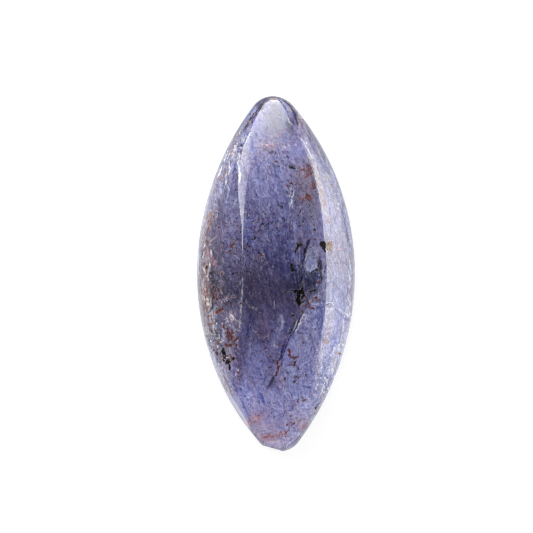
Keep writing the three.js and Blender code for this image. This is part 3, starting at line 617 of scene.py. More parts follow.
# Drawn lines by ink: width in pixels, then the pixels that the line runs through, as x, y, x, y ...
strokes = {
    "blue": [
        (2.2, 250, 136, 251, 142, 253, 150), (2, 237, 162, 234, 170, 233, 180, 232, 190),
        (2.4, 236, 364, 234, 374, 234, 386, 238, 394), (1.6, 309, 138, 311, 144, 313.5, 149),
        (1, 332, 185, 337, 197, 341, 208, 344, 219, 347, 233, 349, 247, 350, 256),
        (1.6, 322, 308, 322, 318, 321, 330, 319.5, 338), (2.2, 338.5, 319, 337.5, 330, 334, 343, 331, 353),
        (2.6, 255, 112, 260, 105, 266, 100), (2.4, 243, 326, 242, 336, 240, 346), (2.6, 252, 139, 252, 150),
        (2.2, 234, 362, 233, 374), (2, 281, 102, 286, 109),
    ],
    "slate": [
        (1.6, 234, 138, 241, 126, 249, 114, 257, 104),
        (1.4, 283, 99, 292, 107, 304, 121, 314, 134, 324, 152, 333, 171, 339, 187),
        (1.6, 273, 163, 275, 169, 276, 175, 279, 178), (1.4, 270, 168, 272, 174, 275, 179),
        (1.2, 278, 98.5, 282, 104, 286, 109.5, 289, 114), (1.2, 225, 176, 224, 183, 223, 190),
        (1, 230, 160, 231, 164, 229, 171), (1.2, 229, 194, 232, 195.5, 237, 193, 240, 191),
        (1.4, 244, 227, 246, 234, 249, 240), (1.4, 251, 312, 249, 325, 246, 338, 245, 350),
        (1.2, 237, 391, 239, 396, 243, 404, 247, 412, 250, 418), (1, 243, 397, 247, 396.5),
        (1, 250, 397, 256, 396, 259, 398), (2.2, 260, 393, 263, 398, 264, 404),
        (0.9, 264, 419, 276, 416, 288, 411, 296, 407), (0.9, 258, 412, 262, 414, 266, 417),
        (0.9, 298, 422, 302, 419, 306, 420), (1, 288, 447, 296, 440, 301, 433),
        (1.6, 321, 401, 318, 405, 315.5, 409), (1.2, 244, 420, 250, 428, 257, 437, 264, 444),
        (2, 311, 145, 314, 150, 318, 155, 321, 161, 324, 167, 325.5, 174),
        (0.9, 329, 205, 330, 211, 330.5, 217), (0.9, 330, 225, 330.8, 230, 330.5, 235),
        (1.2, 329, 181, 333, 183, 332, 187), (0.9, 341, 209, 344, 219, 346.5, 231, 348.5, 244),
        (1.1, 331, 280.5, 335, 284.5, 341, 290), (1, 337, 286.5, 334, 290, 333, 296, 332, 303),
        (1, 331, 281, 329, 283), (1.4, 341, 290, 344, 296), (1.4, 347, 282, 348, 290, 346, 297),
        (1, 343, 291, 342, 297, 345, 303), (1.2, 304, 318, 308, 322, 312, 321.5),
        (1.1, 300, 327, 305, 329.5, 309, 327, 312, 330), (1.1, 307, 333, 311, 336, 310, 341),
        (1.2, 315, 314, 319, 319, 317, 325), (1, 313, 345, 310, 352, 308, 360),
        (1, 319, 343, 315, 348, 314, 356), (1.8, 334, 308.5, 341, 314.5, 349, 322),
        (1.2, 324.5, 307, 324.5, 314, 324, 322), (1.2, 334, 342, 338, 343, 341, 342),
        (1, 331, 338.5, 335, 339), (1, 343, 330, 345, 331), (1.2, 318, 376, 324, 374, 330, 378),
        (1, 312, 381, 320, 382, 327, 384), (1.4, 310, 389, 316, 392, 321, 395),
        (1, 300, 385, 307, 387, 313, 390), (1.2, 323, 396, 326, 390, 328, 385),
        (1.6, 291, 336, 288, 341, 285.5, 347, 283, 356, 281.5, 366),
        (1.2, 286.5, 338, 283.5, 344, 281, 352, 279.5, 360), (1.6, 266, 377, 263, 383),
        (1.4, 286, 113, 289, 117, 293, 122, 296, 127), (1.4, 250.5, 135, 250.5, 138),
        (1.6, 256, 134, 256.5, 136), (1.4, 258.5, 118.5, 259, 122), (1.8, 283, 152, 284, 153.5),
        (1.3, 220, 329, 220.5, 334, 221, 338), (1.8, 314, 309.5, 318, 307.5, 322, 306.8, 325, 306.5),
        (1.2, 307, 255, 306, 262), (1, 313, 250, 313, 258), (1.6, 311, 244.2, 315, 245.5, 319, 246),
        (1.4, 298, 283, 297, 289), (1.4, 251, 312, 249, 325, 246, 338), (1, 328.5, 283, 328.5, 285.5),
        (1, 332.5, 281, 333, 283.5), (1, 329.5, 258, 329.5, 260),
    ],
    "grey": [
        (2.2, 224, 376, 229, 386, 232, 394), (1.6, 303, 130, 308, 136, 313, 143),
        (1, 338, 212, 335, 219, 334, 224), (1.2, 344, 263, 348, 266, 350, 272),
        (1.4, 330, 262, 337, 263, 345, 262), (1, 327, 305.5, 330, 306), (1.2, 326, 316, 330, 319, 333, 317),
        (1.2, 325, 326, 329, 329, 334, 327), (1.3, 266.8, 125.5, 267, 129), (2.4, 222.5, 355, 226, 358),
        (3, 210.5, 330, 214, 333), (2.8, 213, 336, 217.5, 338), (1.2, 328, 305.5, 330, 306.5),
        (1.6, 217, 329, 217.5, 332),
    ],
    "umber": [
        (3, 264.5, 104, 261, 108, 258, 111.5), (1.6, 256.5, 112.5, 255.5, 115, 252, 118, 249, 121.5),
        (1.8, 225, 357, 229, 361), (2.2, 227, 363.3, 231, 362), (2, 214, 279.5, 214.3, 282),
        (1.8, 223.5, 276, 225, 278), (1.4, 206, 241, 208, 242.5), (1.2, 205.8, 297, 205.8, 303, 207, 307),
        (1.5, 208.5, 285, 211, 290),
    ],
    "navy": [
        (1, 305, 309, 302, 315, 299.5, 321, 297, 327, 294, 331.5, 290.5, 336),
        (2.4, 274, 376.5, 271.8, 381, 269, 386.5), (2.6, 284.6, 343, 282.4, 350, 281, 356, 279.6, 361),
        (2.8, 255, 107, 258, 103.5, 262, 100, 268, 97.3, 276, 96.6),
        (2, 276, 97, 281, 98.5, 287, 103, 293, 109.5), (1.4, 293, 109.5, 298, 115.5, 302, 120),
        (3.4, 292.5, 110, 294.8, 114, 296, 119), (1.8, 296, 119, 297.5, 125), (1.6, 287, 156.5, 288.5, 158),
        (1.4, 287.5, 151, 288.5, 153), (2, 209.5, 272.5, 212.5, 273.5), (1.6, 209.5, 274, 209.5, 283),
        (1.6, 212.5, 299, 213, 305, 211, 310, 208, 313), (2.2, 308, 240, 306.5, 246),
        (2.4, 306.5, 245, 305.3, 251, 304.2, 258), (1.4, 304, 258, 303, 265, 301, 271),
        (1.8, 312, 275, 313.5, 279), (2.4, 308, 279, 308, 286), (2.4, 314.5, 279, 314.5, 287),
        (1.6, 299, 267, 299.5, 276), (2.4, 302, 274, 301, 281), (1.5, 220.5, 335.5, 220.5, 336.8),
        (1.5, 219.5, 338.5, 219.5, 340), (1.5, 221, 344.5, 221.3, 345.8), (1.5, 216, 320, 216.3, 321.5),
        (1.2, 211.3, 346.5, 211.7, 348.5), (1.6, 202.3, 250, 202, 257),
        (1.4, 326, 263, 325.5, 268, 324, 274), (1.4, 318, 299.6, 322, 300.8, 325, 302.3),
        (1.4, 240.7, 257.5, 241, 261),
    ],
    "brown": [
        (2.2, 242, 133, 244, 130, 247, 126, 249, 122), (1.6, 237, 173, 238, 178, 236, 181),
        (2.6, 264.5, 149.5, 268.5, 151), (2.2, 269.5, 153.5, 272.3, 151.3),
    ],
    "dim": [
        (1.2, 234, 200, 233, 207, 232, 215), (1.2, 221, 224, 222, 231, 225, 236),
        (1.3, 268, 229, 266, 238, 262, 248), (1.2, 258, 234, 254, 242, 251, 250),
        (1.2, 284, 203, 281, 216, 278, 228), (1, 244, 233, 247, 230.5, 250, 231),
        (1.2, 253, 254, 253, 259, 252, 264), (1.4, 283, 252, 284, 257, 286, 262),
        (2, 251, 335, 250, 346, 250, 358), (1.4, 248, 402, 252, 408, 256, 413),
        (1.6, 262, 430, 270, 433, 278, 431), (3, 277, 326, 278.5, 334, 275, 341, 277, 348),
        (2, 295, 222, 294, 232, 296, 240),
    ],
    "pale": [
        (1, 246, 173, 249, 168, 253, 165.5), (2, 233, 146, 230, 154, 226, 164),
        (1.6, 224, 178, 221, 186, 219, 194), (3, 217, 192, 215, 199, 213, 206),
        (1.4, 229, 184, 228, 194, 226, 204), (1.2, 236, 199, 235, 204),
        (0.9, 236.5, 368, 236, 376, 238.5, 382.5, 241.5, 382),
        (0.9, 256, 430, 262, 437, 267, 445, 271, 448), (1.2, 286, 447, 294, 440, 300, 432),
        (1.1, 301, 330, 304, 332, 307, 331), (1, 305, 336, 308, 339), (1.2, 316, 344, 318, 348, 316, 351),
        (1.4, 312, 393, 316, 395, 320, 398), (2.4, 281, 315, 283, 320, 281.5, 327, 279, 333),
        (1.2, 275, 340, 274, 345, 278, 348), (1, 274, 300, 274.5, 304, 274, 308),
        (1, 284.5, 351, 283, 358, 283.5, 366), (1, 280.5, 350, 279.5, 357),
        (1.2, 289.3, 200, 289.8, 208, 290.3, 216), (1, 293.5, 193, 292, 202, 293, 210),
        (3.4, 223.2, 329, 223.8, 337), (2.2, 215, 364, 219, 374),
        (1.2, 308.8, 246.5, 307.5, 252, 305.5, 258.5, 304.2, 263), (1.2, 306, 266, 308, 270),
        (1.2, 313.5, 264, 311, 270, 309.3, 273.5), (1.1, 316.5, 265, 314, 269.5), (1, 319, 271.5, 320, 275),
        (1.4, 226.8, 313, 227.2, 322), (1.2, 232, 316, 236.5, 320.5), (1, 234, 254.5, 240.3, 261.5),
        (1.1, 220, 300.5, 222, 302.5), (1.1, 223, 299, 225, 301.3), (1.1, 224.5, 297.5, 226.3, 300.2),
        (1.3, 299.3, 298.3, 300.5, 297), (2.2, 311, 303.2, 316, 304.5, 321, 304.2),
        (1.2, 299.3, 257, 299, 263), (1.6, 198.6, 246, 198.2, 262, 198.4, 276),
        (1.4, 327.5, 265, 326.5, 270, 325, 275), (2, 212.5, 325.5, 213.5, 328.5),
        (1.8, 204.5, 276, 206.5, 285), (1.4, 326.5, 288, 326.5, 299), (1.2, 330.5, 290, 331, 300),
        (1.4, 322, 286, 322.5, 293),
    ],
    "cream": [
        # the first cream line paints the thin highlight down the left side: painted highlight
        (1.3, 242.7, 277, 242.5, 287, 241.6, 300, 240.8, 312, 240.6, 321),
        (1.4, 229, 160, 234, 161, 240, 161), (1.4, 216, 217, 218, 214),
        (2.6, 309, 152, 314, 164, 318, 176, 320, 188), (3.6, 319.5, 186, 322, 197, 324, 208),
        (1.5, 216.5, 236, 212, 240, 208, 244.8), (2.2, 240, 322, 239.3, 327.5),
        (1.7, 236, 329.3, 240, 331.2), (2.4, 289, 107, 291, 111), (2.4, 298, 114, 301, 118.5),
        (2.4, 203, 285, 203.5, 296, 204, 306), (2.6, 210.5, 297, 210.5, 308),
        (2.6, 205.5, 324, 207, 330, 209, 335), (1.4, 229.6, 348, 230.6, 353), (1.8, 272, 100.6, 275, 101.6),
    ],
    "rose": [
        (2, 268, 436.5, 274, 436), (1.6, 277, 434, 281, 433), (1.5, 252, 418, 257, 415.5),
        (1.4, 249, 417, 251, 421), (1, 277, 139, 280, 136.5, 283, 133), (1.2, 275, 137, 276, 139),
        (1, 266, 426, 276, 425.5, 288, 422, 298, 421), (1.6, 301, 424, 304, 427, 306, 424),
        (1, 333, 246, 338, 249, 344, 248), (1, 336, 250, 339, 256, 338, 261),
        (1, 329, 262, 332, 259, 331, 255), (1.4, 327, 334, 329, 335), (1.4, 330, 350, 332, 353),
        (2, 270, 146, 277, 146.5), (1.8, 264.5, 143.8, 268.5, 144.3), (1.7, 274.8, 138.3, 275.6, 138.8),
        (1.8, 277.5, 136, 281, 134.3), (1.6, 282.3, 131.8, 284.8, 128.4), (1.8, 289, 143.2, 290, 144),
        (2.6, 208.3, 251, 208, 256), (2.6, 212.5, 257.5, 215, 261.5), (1.8, 206.5, 291, 207, 296),
        (1.8, 206, 279, 206.3, 282), (2.8, 213.3, 347.5, 214.8, 350.5), (1.6, 219, 303, 220, 304),
        (2.2, 214, 262, 216, 266),
    ],
    "tan": [
        (1.6, 239, 142, 235, 146, 232, 152, 230, 156), (1.6, 225, 171, 224, 176, 222, 178),
        (1.4, 219, 174, 218, 180), (2.6, 215, 210, 211, 213, 208, 217, 206, 221),
        (1.8, 210, 222, 209, 230, 205, 237), (1.2, 229, 389, 231, 393, 233, 397),
        (1.2, 291, 418, 296, 419.5, 303, 421), (1.4, 318, 152, 320, 155), (1.4, 314, 155, 317, 158),
        (1.6, 325, 175, 326, 179), (1.5, 320, 188, 323, 195, 325, 202, 327, 208),
        (2.2, 327.5, 218, 328.5, 222), (1.4, 350, 256, 350.5, 262), (1, 326, 236, 329, 233.5),
        (1.6, 339.5, 268, 340.5, 273), (3, 323.5, 340, 326, 341.5, 327.5, 343.5), (1.6, 337, 353, 340, 354),
        (1.6, 264.5, 103, 266.5, 101.8), (1.8, 298.3, 118, 299.3, 124), (1.4, 260.5, 131.3, 262, 131.7),
        (2.2, 272.5, 98.5, 274.5, 99.8), (1.8, 221, 355, 220.7, 362), (1.8, 208.8, 316.5, 208.3, 320),
        (1.3, 206, 320, 206.8, 320.5), (1.3, 210, 324.5, 214.3, 321.4), (2.2, 222, 340.8, 222.5, 341.5),
        (2, 216.8, 329, 217.3, 331.5), (1.4, 300, 301.5, 300.5, 302.5), (1.6, 230.5, 359, 232, 362.5),
        (1.5, 201.5, 263, 201.3, 268),
    ],
    "white": [
        # the first line paints the thin highlight down the upper left, and several short ones paint glints:
        # painted highlights
        (0.8, 252, 131, 249, 136, 245.5, 144), (3.2, 238, 142, 235, 148, 232, 157),
        (2.2, 240, 153, 239, 160, 238, 168), (1.6, 229, 160, 230, 168, 228, 176),
        (1.8, 222, 166, 220, 173, 217, 178), (1.4, 226, 172, 226, 180, 226, 186),
        (2.4, 238, 164, 240, 174, 239, 184), (1.4, 228, 150, 226, 157, 224, 162),
        (1.1, 246, 397.6, 250, 397.6), (1.1, 296, 404.5, 297, 407, 298.5, 410),
        (1, 298, 136.5, 303, 141.5, 306, 145), (1.2, 307.5, 141, 305.5, 146, 309, 151, 311.5, 157),
        (1.1, 303, 314, 306, 317, 305, 321), (1, 299, 324.5, 303, 322, 307, 324),
        (1, 337, 308, 343, 312, 349, 317), (1, 343.5, 324, 342.5, 332, 340, 344, 337.5, 352),
        (2.2, 336, 358, 334, 366, 332, 374), (1.2, 318, 379, 323, 377, 328, 381),
        (1.6, 324, 383, 323, 388, 322, 392), (1.1, 303.5, 314, 300.8, 320, 298.5, 326, 294.8, 332),
        (1, 297.5, 320, 295.5, 326, 293, 331), (1.2, 291.8, 185, 291, 192, 289.3, 198),
        (1.3, 294, 190, 292, 198, 290.5, 206), (0.9, 288, 118, 289.5, 121.5, 292, 125),
        (1.8, 266, 145, 267, 145.2), (1.5, 269.3, 107.3, 270, 107.8), (1.2, 284, 147, 285, 148),
        (1.1, 288, 145.5, 289, 146.5), (1.1, 281.5, 150, 282.5, 149), (1.2, 278, 143, 279, 143.5),
        (2, 202.8, 267.5, 204.5, 271.5), (2.6, 207.5, 299, 208, 304.5), (1.6, 209.8, 262, 209.8, 266),
        (1.3, 210.5, 250, 212, 255.5), (1.4, 203.5, 252, 203.3, 258), (1.4, 205, 244, 204, 248),
        (1.7, 213, 321.8, 213.3, 322.5), (2, 213.6, 324.3, 213.9, 325), (1.4, 216.2, 322.5, 216.5, 323.5),
        (1.9, 221, 342.8, 221.2, 343.4), (1.7, 217.8, 346.6, 218, 347.4), (1.7, 231, 315, 233.5, 318),
        (1.8, 303.8, 301.5, 304.3, 303), (1, 325, 251.3, 327, 250.6),
        (1.3, 325, 304.5, 328, 302.6, 332, 303.2, 334.3, 306.3), (1.2, 326, 308, 330, 309.6, 334, 307.6),
        (1.3, 318.5, 293, 319, 296), (1.2, 322.5, 270, 323.5, 274), (1.4, 205.5, 287, 207, 289.5),
        (1.2, 207, 276, 207.5, 279), (1.1, 220.3, 291, 221, 292),
    ],
    "clay": [
        (2.8, 207.5, 266, 206.5, 270), (2.4, 208.5, 261, 208, 265), (2.4, 203.7, 262.5, 204, 264),
        (1.7, 200.7, 271.5, 201.5, 277), (1.6, 202, 289.5, 202, 294), (1.9, 206, 307.5, 207, 311.5),
        (1.8, 204.5, 313, 205, 314.5), (2, 203.5, 288, 204.5, 296), (2, 206, 284, 207.5, 292),
        (2.2, 203, 300, 204.5, 310), (1.8, 207, 268, 206, 276), (2, 211, 318, 214, 324),
        (2, 208, 322, 210, 330), (1.6, 202, 268, 203, 280), (1.8, 209, 226, 206, 236),
    ],
    "brick": [
        (1.1, 284, 175, 287, 172.5, 290, 170.5), (2, 309, 164, 310.5, 168, 311.5, 173),
        (2, 306, 172, 308, 175, 306, 177), (1.6, 299, 168, 301, 171), (1.8, 304, 199, 307, 197, 309, 201),
        (1.4, 309, 194, 310.5, 199, 311, 203), (1.8, 314, 184, 316, 188),
        (1.4, 284.5, 434.5, 287, 431.5, 289, 429.5), (1.4, 221, 245.5, 223, 249),
        (2, 226.5, 251.5, 227.5, 253), (1.5, 236, 253, 236.5, 254), (1.5, 223, 258.5, 223.5, 260),
        (2.4, 213, 294, 216.5, 294), (3.6, 218.5, 312, 220.5, 310.5, 222.5, 309),
        (2.2, 215.5, 313, 217.5, 313.2), (2.4, 223.5, 324, 224, 328), (2.4, 231, 334, 232, 338),
        (3, 225.5, 344.3, 228, 346), (2.2, 230, 354.5, 231.6, 358), (2.4, 218, 341, 218.4, 343),
        (1.8, 239, 371.5, 239.4, 373), (2.6, 318.3, 281, 319, 282), (1.3, 300.5, 251.7, 302, 249.5),
        (1.5, 303.8, 306, 306, 305.6), (2.2, 307.4, 305, 309, 303.8), (1.3, 310, 303, 311.6, 301.4),
        (1.3, 304.5, 296.5, 306, 299), (1.7, 301.7, 308.4, 301.5, 311.4), (1.4, 264.5, 437, 268, 437.4),
        (1.6, 271, 438, 273.4, 436.4), (1.4, 279, 435, 281, 433.8), (1.3, 250, 420, 251.6, 423),
        (1.3, 257, 415.6, 260, 414.8), (2.4, 299, 197.5, 300.2, 198.6), (2.2, 302.6, 199.6, 303.6, 200.6),
        (2.2, 306.4, 196, 307.2, 197.6), (2.4, 308.2, 168, 309.4, 170), (2.2, 312.4, 183.6, 314, 186.2),
        (2, 286.6, 184.6, 287.6, 186),
    ],
    "rust": [
        (3, 277.4, 361, 277.6, 364), (3.2, 278.6, 366, 278.2, 370), (2.8, 277, 372, 275.6, 375.5),
        (2, 287.2, 372.6, 287.6, 373.6), (2.2, 290.5, 364.6, 294.4, 365.4), (2.6, 289, 350, 289.6, 351.4),
        (2.6, 289.3, 355, 290, 356.2), (1.3, 276.5, 380, 274.5, 384), (1.2, 249, 305, 252, 308, 257, 308.5),
        (1.2, 254, 331, 257, 334, 260, 337), (1.4, 262, 338, 265, 339.5, 268, 338),
        (1, 266, 352.5, 269, 354, 272, 357), (1.3, 297.5, 332, 300, 333.5, 303.5, 333.5),
        (1.2, 280.5, 365, 283, 368.5), (1.2, 283.6, 368.4, 284.2, 369.2),
        (2.4, 291, 357, 294, 358, 297, 357), (2.8, 231.5, 245.8, 232.5, 244.5, 235.2, 242.8),
        (2.4, 230.3, 246.6, 232, 247.8), (2.5, 236.3, 247.5, 236.8, 249), (2.1, 213.8, 267.5, 214.3, 268.5),
        (2.3, 216.8, 271, 217.3, 272.2), (2.7, 221.3, 273.3, 221.8, 275),
        (1.5, 213, 285, 216, 286.5, 217.3, 288.5, 220, 287, 223.3, 285.3),
        (2.2, 217.3, 288, 218.3, 291, 219.8, 292.2), (2.6, 216.2, 297, 217, 299.8),
        (1.4, 229, 293.5, 229.2, 298), (1.4, 228, 297.7, 232, 296.4, 236, 297.2),
        (2.4, 238.8, 304.3, 240.8, 303), (1.8, 219, 309.3, 223.3, 308.9), (1.6, 237.5, 286, 240, 283),
        (2, 226.8, 326.5, 227.6, 328, 228, 330.5), (3.6, 228, 333, 227.8, 336.5), (2, 230, 332.5, 231, 335),
        (3, 228.5, 340.5, 231, 338.7), (1.6, 233.3, 331.8, 234, 332.3), (3, 236, 339.4, 238.4, 338.2),
        (1.6, 238.6, 336, 238.6, 337.2), (1.8, 232, 341, 232, 342), (1.5, 235, 341.2, 235.4, 342),
        (2.6, 229.6, 344.3, 232, 345), (1.6, 233.8, 345, 234.6, 345.3),
        (1.8, 236.6, 344.5, 236.4, 347.5, 236, 350), (2.2, 216, 352.5, 217, 355),
        (1.4, 217, 352.3, 218.3, 352.5), (2, 300.4, 237.8, 302.4, 241), (2.2, 314.7, 239, 315.3, 240.2),
        (2, 295.4, 249, 295.6, 252.6), (2, 299.7, 264.5, 300.4, 265.6), (2.6, 315, 298.8, 316.2, 297.2),
        (2.3, 310.8, 308, 313.6, 309.4), (1.6, 302.2, 306, 301.8, 309), (1.8, 302, 311, 303, 313.5),
        (1.5, 304, 294.8, 306.5, 297), (2.2, 295, 362, 295.2, 363), (2, 297.6, 367.4, 298, 368.2),
        (2, 295.4, 375.8, 295.8, 376.4), (2.2, 297.8, 376.8, 298.4, 377.4),
        (1.8, 284.4, 378.2, 284.6, 379.4), (1.8, 294.6, 380.2, 295, 380.8), (2.2, 293.8, 382.2, 295, 382.8),
        (1.8, 303.8, 400.6, 306, 399.2), (1.8, 297.8, 400.6, 298.4, 401.6), (1.8, 295.6, 404, 296, 404.8),
    ],
    "black": [
        (1.6, 284, 290.5, 285.5, 292.5), (1.6, 293.5, 314.5, 292.5, 316.5), (1.4, 294.5, 322, 293.5, 325),
        (1.8, 292, 329, 289.5, 333.5), (1.6, 290, 167.5, 292.5, 168.5, 295, 168),
        (1.6, 292, 166, 294, 169.5), (2, 221.5, 263.5, 222.8, 263.2), (1.9, 211, 272.8, 212.2, 273),
        (1.8, 213, 295.3, 213.2, 298.6), (1.5, 223, 305.7, 223.5, 306.5), (1.4, 229.5, 309.4, 227.3, 310.8),
        (1.9, 297, 243.6, 302, 244.6), (2.6, 298, 246, 297, 248.6), (1.5, 299.6, 246.6, 301.6, 245.2),
        (2.4, 291.2, 264, 292, 265.5), (3, 292, 267.5, 293, 269.5), (2, 293, 270.5, 293.8, 271.2),
        (1.6, 308.4, 272, 309.8, 274.4, 312.4, 272), (1.6, 313, 271.4, 314.8, 270.4),
        (1.6, 315.6, 270, 316.8, 268.8, 317.2, 272), (1.7, 320.6, 272, 322, 276, 321.2, 279.4),
        (1.6, 320, 281, 321, 282), (2, 304.6, 249, 304.2, 255),
        (2.8, 293, 291, 297, 291.6, 301, 292.6, 303.6, 293.2), (2.8, 302.4, 288.3, 303, 292.2),
        (1.4, 302.2, 281.5, 303.6, 285.2), (1.8, 311, 291.3, 314, 290.6, 316.8, 289.9),
        (3, 299.2, 294.6, 298, 299, 298.4, 303, 299.6, 306.4), (1.8, 301.6, 297.6, 303.8, 295.4),
        (1.6, 296, 300.5, 297, 299.5), (1.8, 284.4, 290.6, 285.6, 293), (1.4, 290, 290.5, 290.6, 291.6),
        (2.4, 318.6, 262, 319.5, 266, 319.8, 269.6),
    ],
}

# Solid blots by ink: their corners as x, y, x, y ... in photograph pixels.
blots = {
    "umber": [
        (228.6, 361, 231, 360.8, 231.2, 362.6, 229.2, 364.2, 228, 362.6),
        (318.6, 260.4, 322.2, 260.6, 322, 267.6, 320.4, 269.8, 319, 267.6, 318.2, 264),
    ],
    "navy": [
        (310.8, 237.5, 309.6, 244, 307.8, 247, 306.6, 252, 305, 258, 303.6, 262, 302.2, 261, 303.8, 254,
         305.6, 247, 308.6, 240),
        (290.4, 262.6, 293.2, 263.4, 293.2, 267.4, 295.2, 270.4, 293.4, 272, 291, 270.6, 290, 266),
        (320.4, 270.8, 321.8, 273.6, 322.2, 278, 320.8, 278.8, 320.2, 274),
    ],
    "black": [
        (292.6, 290.4, 296, 290, 300, 290.2, 302, 287.6, 303.4, 288.4, 303.6, 291.6, 304.4, 293.2, 302.8,
         294.4, 299.4, 293.8, 296, 292.8, 294, 292.6),
        (298.2, 294.6, 300.4, 294.4, 300.4, 297, 298.8, 298.4, 300.2, 299.8, 301.8, 301.8, 300.8, 303, 300,
         306.2, 298.2, 304.8, 297.4, 301.8, 295.8, 300.2, 297, 297.8),
        (301.8, 295.4, 304.2, 294.8, 303.2, 297.6, 301.4, 299, 301.2, 297),
        (222.4, 348, 224, 347.4, 224.6, 349.4, 223.4, 351, 225.8, 351.4, 225.4, 353, 226, 355, 223.6, 355,
         221.8, 353, 221.4, 351),
        (225.8, 360.6, 227.6, 359.6, 228.8, 361, 230.4, 361.2, 230, 363, 228.6, 363.4, 226.2, 362.2),
        (228.8, 363.8, 230.2, 364.6, 230.6, 368, 230.2, 370.6, 228.8, 370.2, 228.6, 367.4),
        (222.4, 359.8, 224.4, 359.8, 225, 361, 222.8, 361.4),
        (232.2, 357.4, 233.6, 356.8, 234.8, 359, 233.8, 360.4, 232.4, 359),
        (310.6, 291.2, 316.6, 289.2, 317, 290.4, 313, 291.6, 311, 292.2),
    ],
}

# Specks by ink: the middle, half width and half height of an oval in photograph pixels, its turn in
# degrees, how many specks, and their size in pixels.
specks = {
    "navy": [
        (322, 280, 3, 16, 0, 20, 1.3), (312, 285, 7, 8, 0, 14, 1.3), (316, 262, 5, 10, 0, 8, 1.3),
    ],
    "pale": [
        (321, 292, 3, 10, 0, 26, 1.2), (308, 318, 9, 12, 0, 20, 1.2), (300, 352, 10, 16, 0, 12, 1.2),
    ],
    "slate": [
        (236, 150, 6, 24, 24, 26, 1.4), (262, 170, 20, 20, 0, 24, 1.2), (330, 350, 7, 26, 8, 24, 1.3),
        (316, 380, 12, 16, 0, 20, 1.2), (338, 290, 8, 30, 0, 14, 1.1),
    ],
    "umber": [
        (262, 225, 34, 22, 0, 70, 1.2), (240, 262, 24, 34, 0, 60, 1.2), (306, 212, 12, 16, 0, 34, 1.2),
        (252, 120, 3, 16, 34, 16, 1.6), (238, 148, 4, 14, 26, 12, 1.4), (262, 156, 14, 8, 0, 14, 1.3),
        (213, 330, 5, 16, -16, 16, 1.5), (226, 358, 6, 9, -30, 14, 1.5), (212, 284, 2, 18, 0, 16, 1.5),
        (306, 300, 7, 7, 0, 12, 1.3),
    ],
    "clay": [
        (206, 280, 3.4, 34, 0, 48, 1.3), (214, 262, 5, 22, 0, 12, 1.3), (208, 232, 3, 16, 8, 12, 1.4),
        (210, 318, 4, 16, -12, 18, 1.4), (222, 350, 6, 10, -20, 14, 1.5), (222, 176, 3, 20, 22, 12, 1.5),
        (236, 144, 3, 14, 28, 12, 1.5), (334, 258, 7, 22, 0, 8, 1.2), (325, 340, 4, 16, 4, 10, 1.4),
        (250, 160, 10, 8, 0, 8, 1.4),
    ],
    "rose": [
        (256, 419, 8, 4, -20, 22, 2.2), (270, 437, 9, 3, -8, 26, 2.4), (283, 433, 5, 3, -24, 10, 2),
        (268, 428, 16, 8, 0, 14, 1.8), (304, 426, 4, 5, 0, 8, 1.8), (268, 146, 10, 3, 0, 14, 1.4),
    ],
    "tan": [
        (210, 222, 2.4, 12, 12, 20, 1.6), (205, 250, 2.4, 16, 0, 16, 1.5), (232, 150, 3, 16, 26, 16, 1.4),
        (322, 196, 2.4, 16, -12, 16, 1.3), (225, 358, 5, 9, -30, 14, 1.5), (330, 250, 5, 10, 0, 8, 1.2),
        (246, 126, 3, 12, 34, 10, 1.4),
    ],
    "white": [
        (216, 334, 7, 12, -14, 26, 1.1), (206, 296, 3.4, 26, 0, 14, 1.1), (230, 320, 8, 7, 0, 10, 1),
        (225, 358, 5, 10, -30, 14, 1.1), (236, 156, 6, 20, 26, 24, 1.2), (342, 336, 4, 26, 6, 20, 1.3),
        (326, 388, 7, 12, 20, 20, 1.3), (340, 205, 3, 24, -14, 12, 1.1),
    ],
    "brick": [
        (308, 172, 5, 8, 0, 14, 1.8), (308, 198, 5, 4, 0, 12, 1.8), (314, 186, 3, 4, 0, 8, 1.8),
        (217, 300, 4, 12, 0, 9, 1.4), (286, 432, 5, 3, -30, 6, 1.4),
    ],
    "rust": [
        (219, 288, 6, 10, 0, 18, 1.5), (231, 336, 7, 8, 0, 22, 1.7), (230, 346, 7, 2.4, 0, 8, 1.6),
        (236, 248, 8, 7, 0, 14, 1.6), (262, 258, 8, 8, 0, 8, 1.8), (256, 224, 26, 14, 0, 22, 1.3),
        (308, 304, 5, 5, 0, 14, 1.5), (265, 336, 9, 6, 0, 10, 1.5), (296, 368, 7, 12, 0, 8, 1.4),
        (298, 180, 8, 14, 0, 12, 1.3),
    ],
    "black": [
        (299, 292, 6, 2, 8, 10, 1.5), (299, 300, 3, 5, 0, 10, 1.5), (225.5, 357, 4.5, 7, -34, 14, 1.5),
        (214, 275, 4, 20, 0, 10, 1.4), (262, 225, 34, 22, 0, 18, 1.3),
    ],
}


# How the borders of zones and lines waver: sideways and upright ripples, each given as its size and
# length in pixels and its seed.
borders = {
    "wavy": ([(3.0, 38, 51), (1.2, 11, 53)], [(4.0, 46, 52), (1.5, 13, 54)]),
    "jagged": ([(0.9, 15, 55)], [(1.2, 12, 56)]),
    "wobbly": ([(0.5, 9, 57)], [(0.5, 9, 58)]),
}
wavyFrom = 12  # ovals whose half sizes are greater, in pixels, have a wavy border

# The pen that draws the lines, in pixels.
pen = {
    "swell": [(0.3, 8, 61), (0.22, 3.6, 62)],  # ripples of its width, as shares of it
    "mean": 0.92,  # share of the width round which it swells
    "thinEnds": 2.0,  # length of a thin end
    "longFrom": 6,  # lines shorter than this have blunt ends
    "least": 0.12,  # half the least width
    "soft": 0.9,  # width of the soft sides
    "blotSoft": 0.5,
}


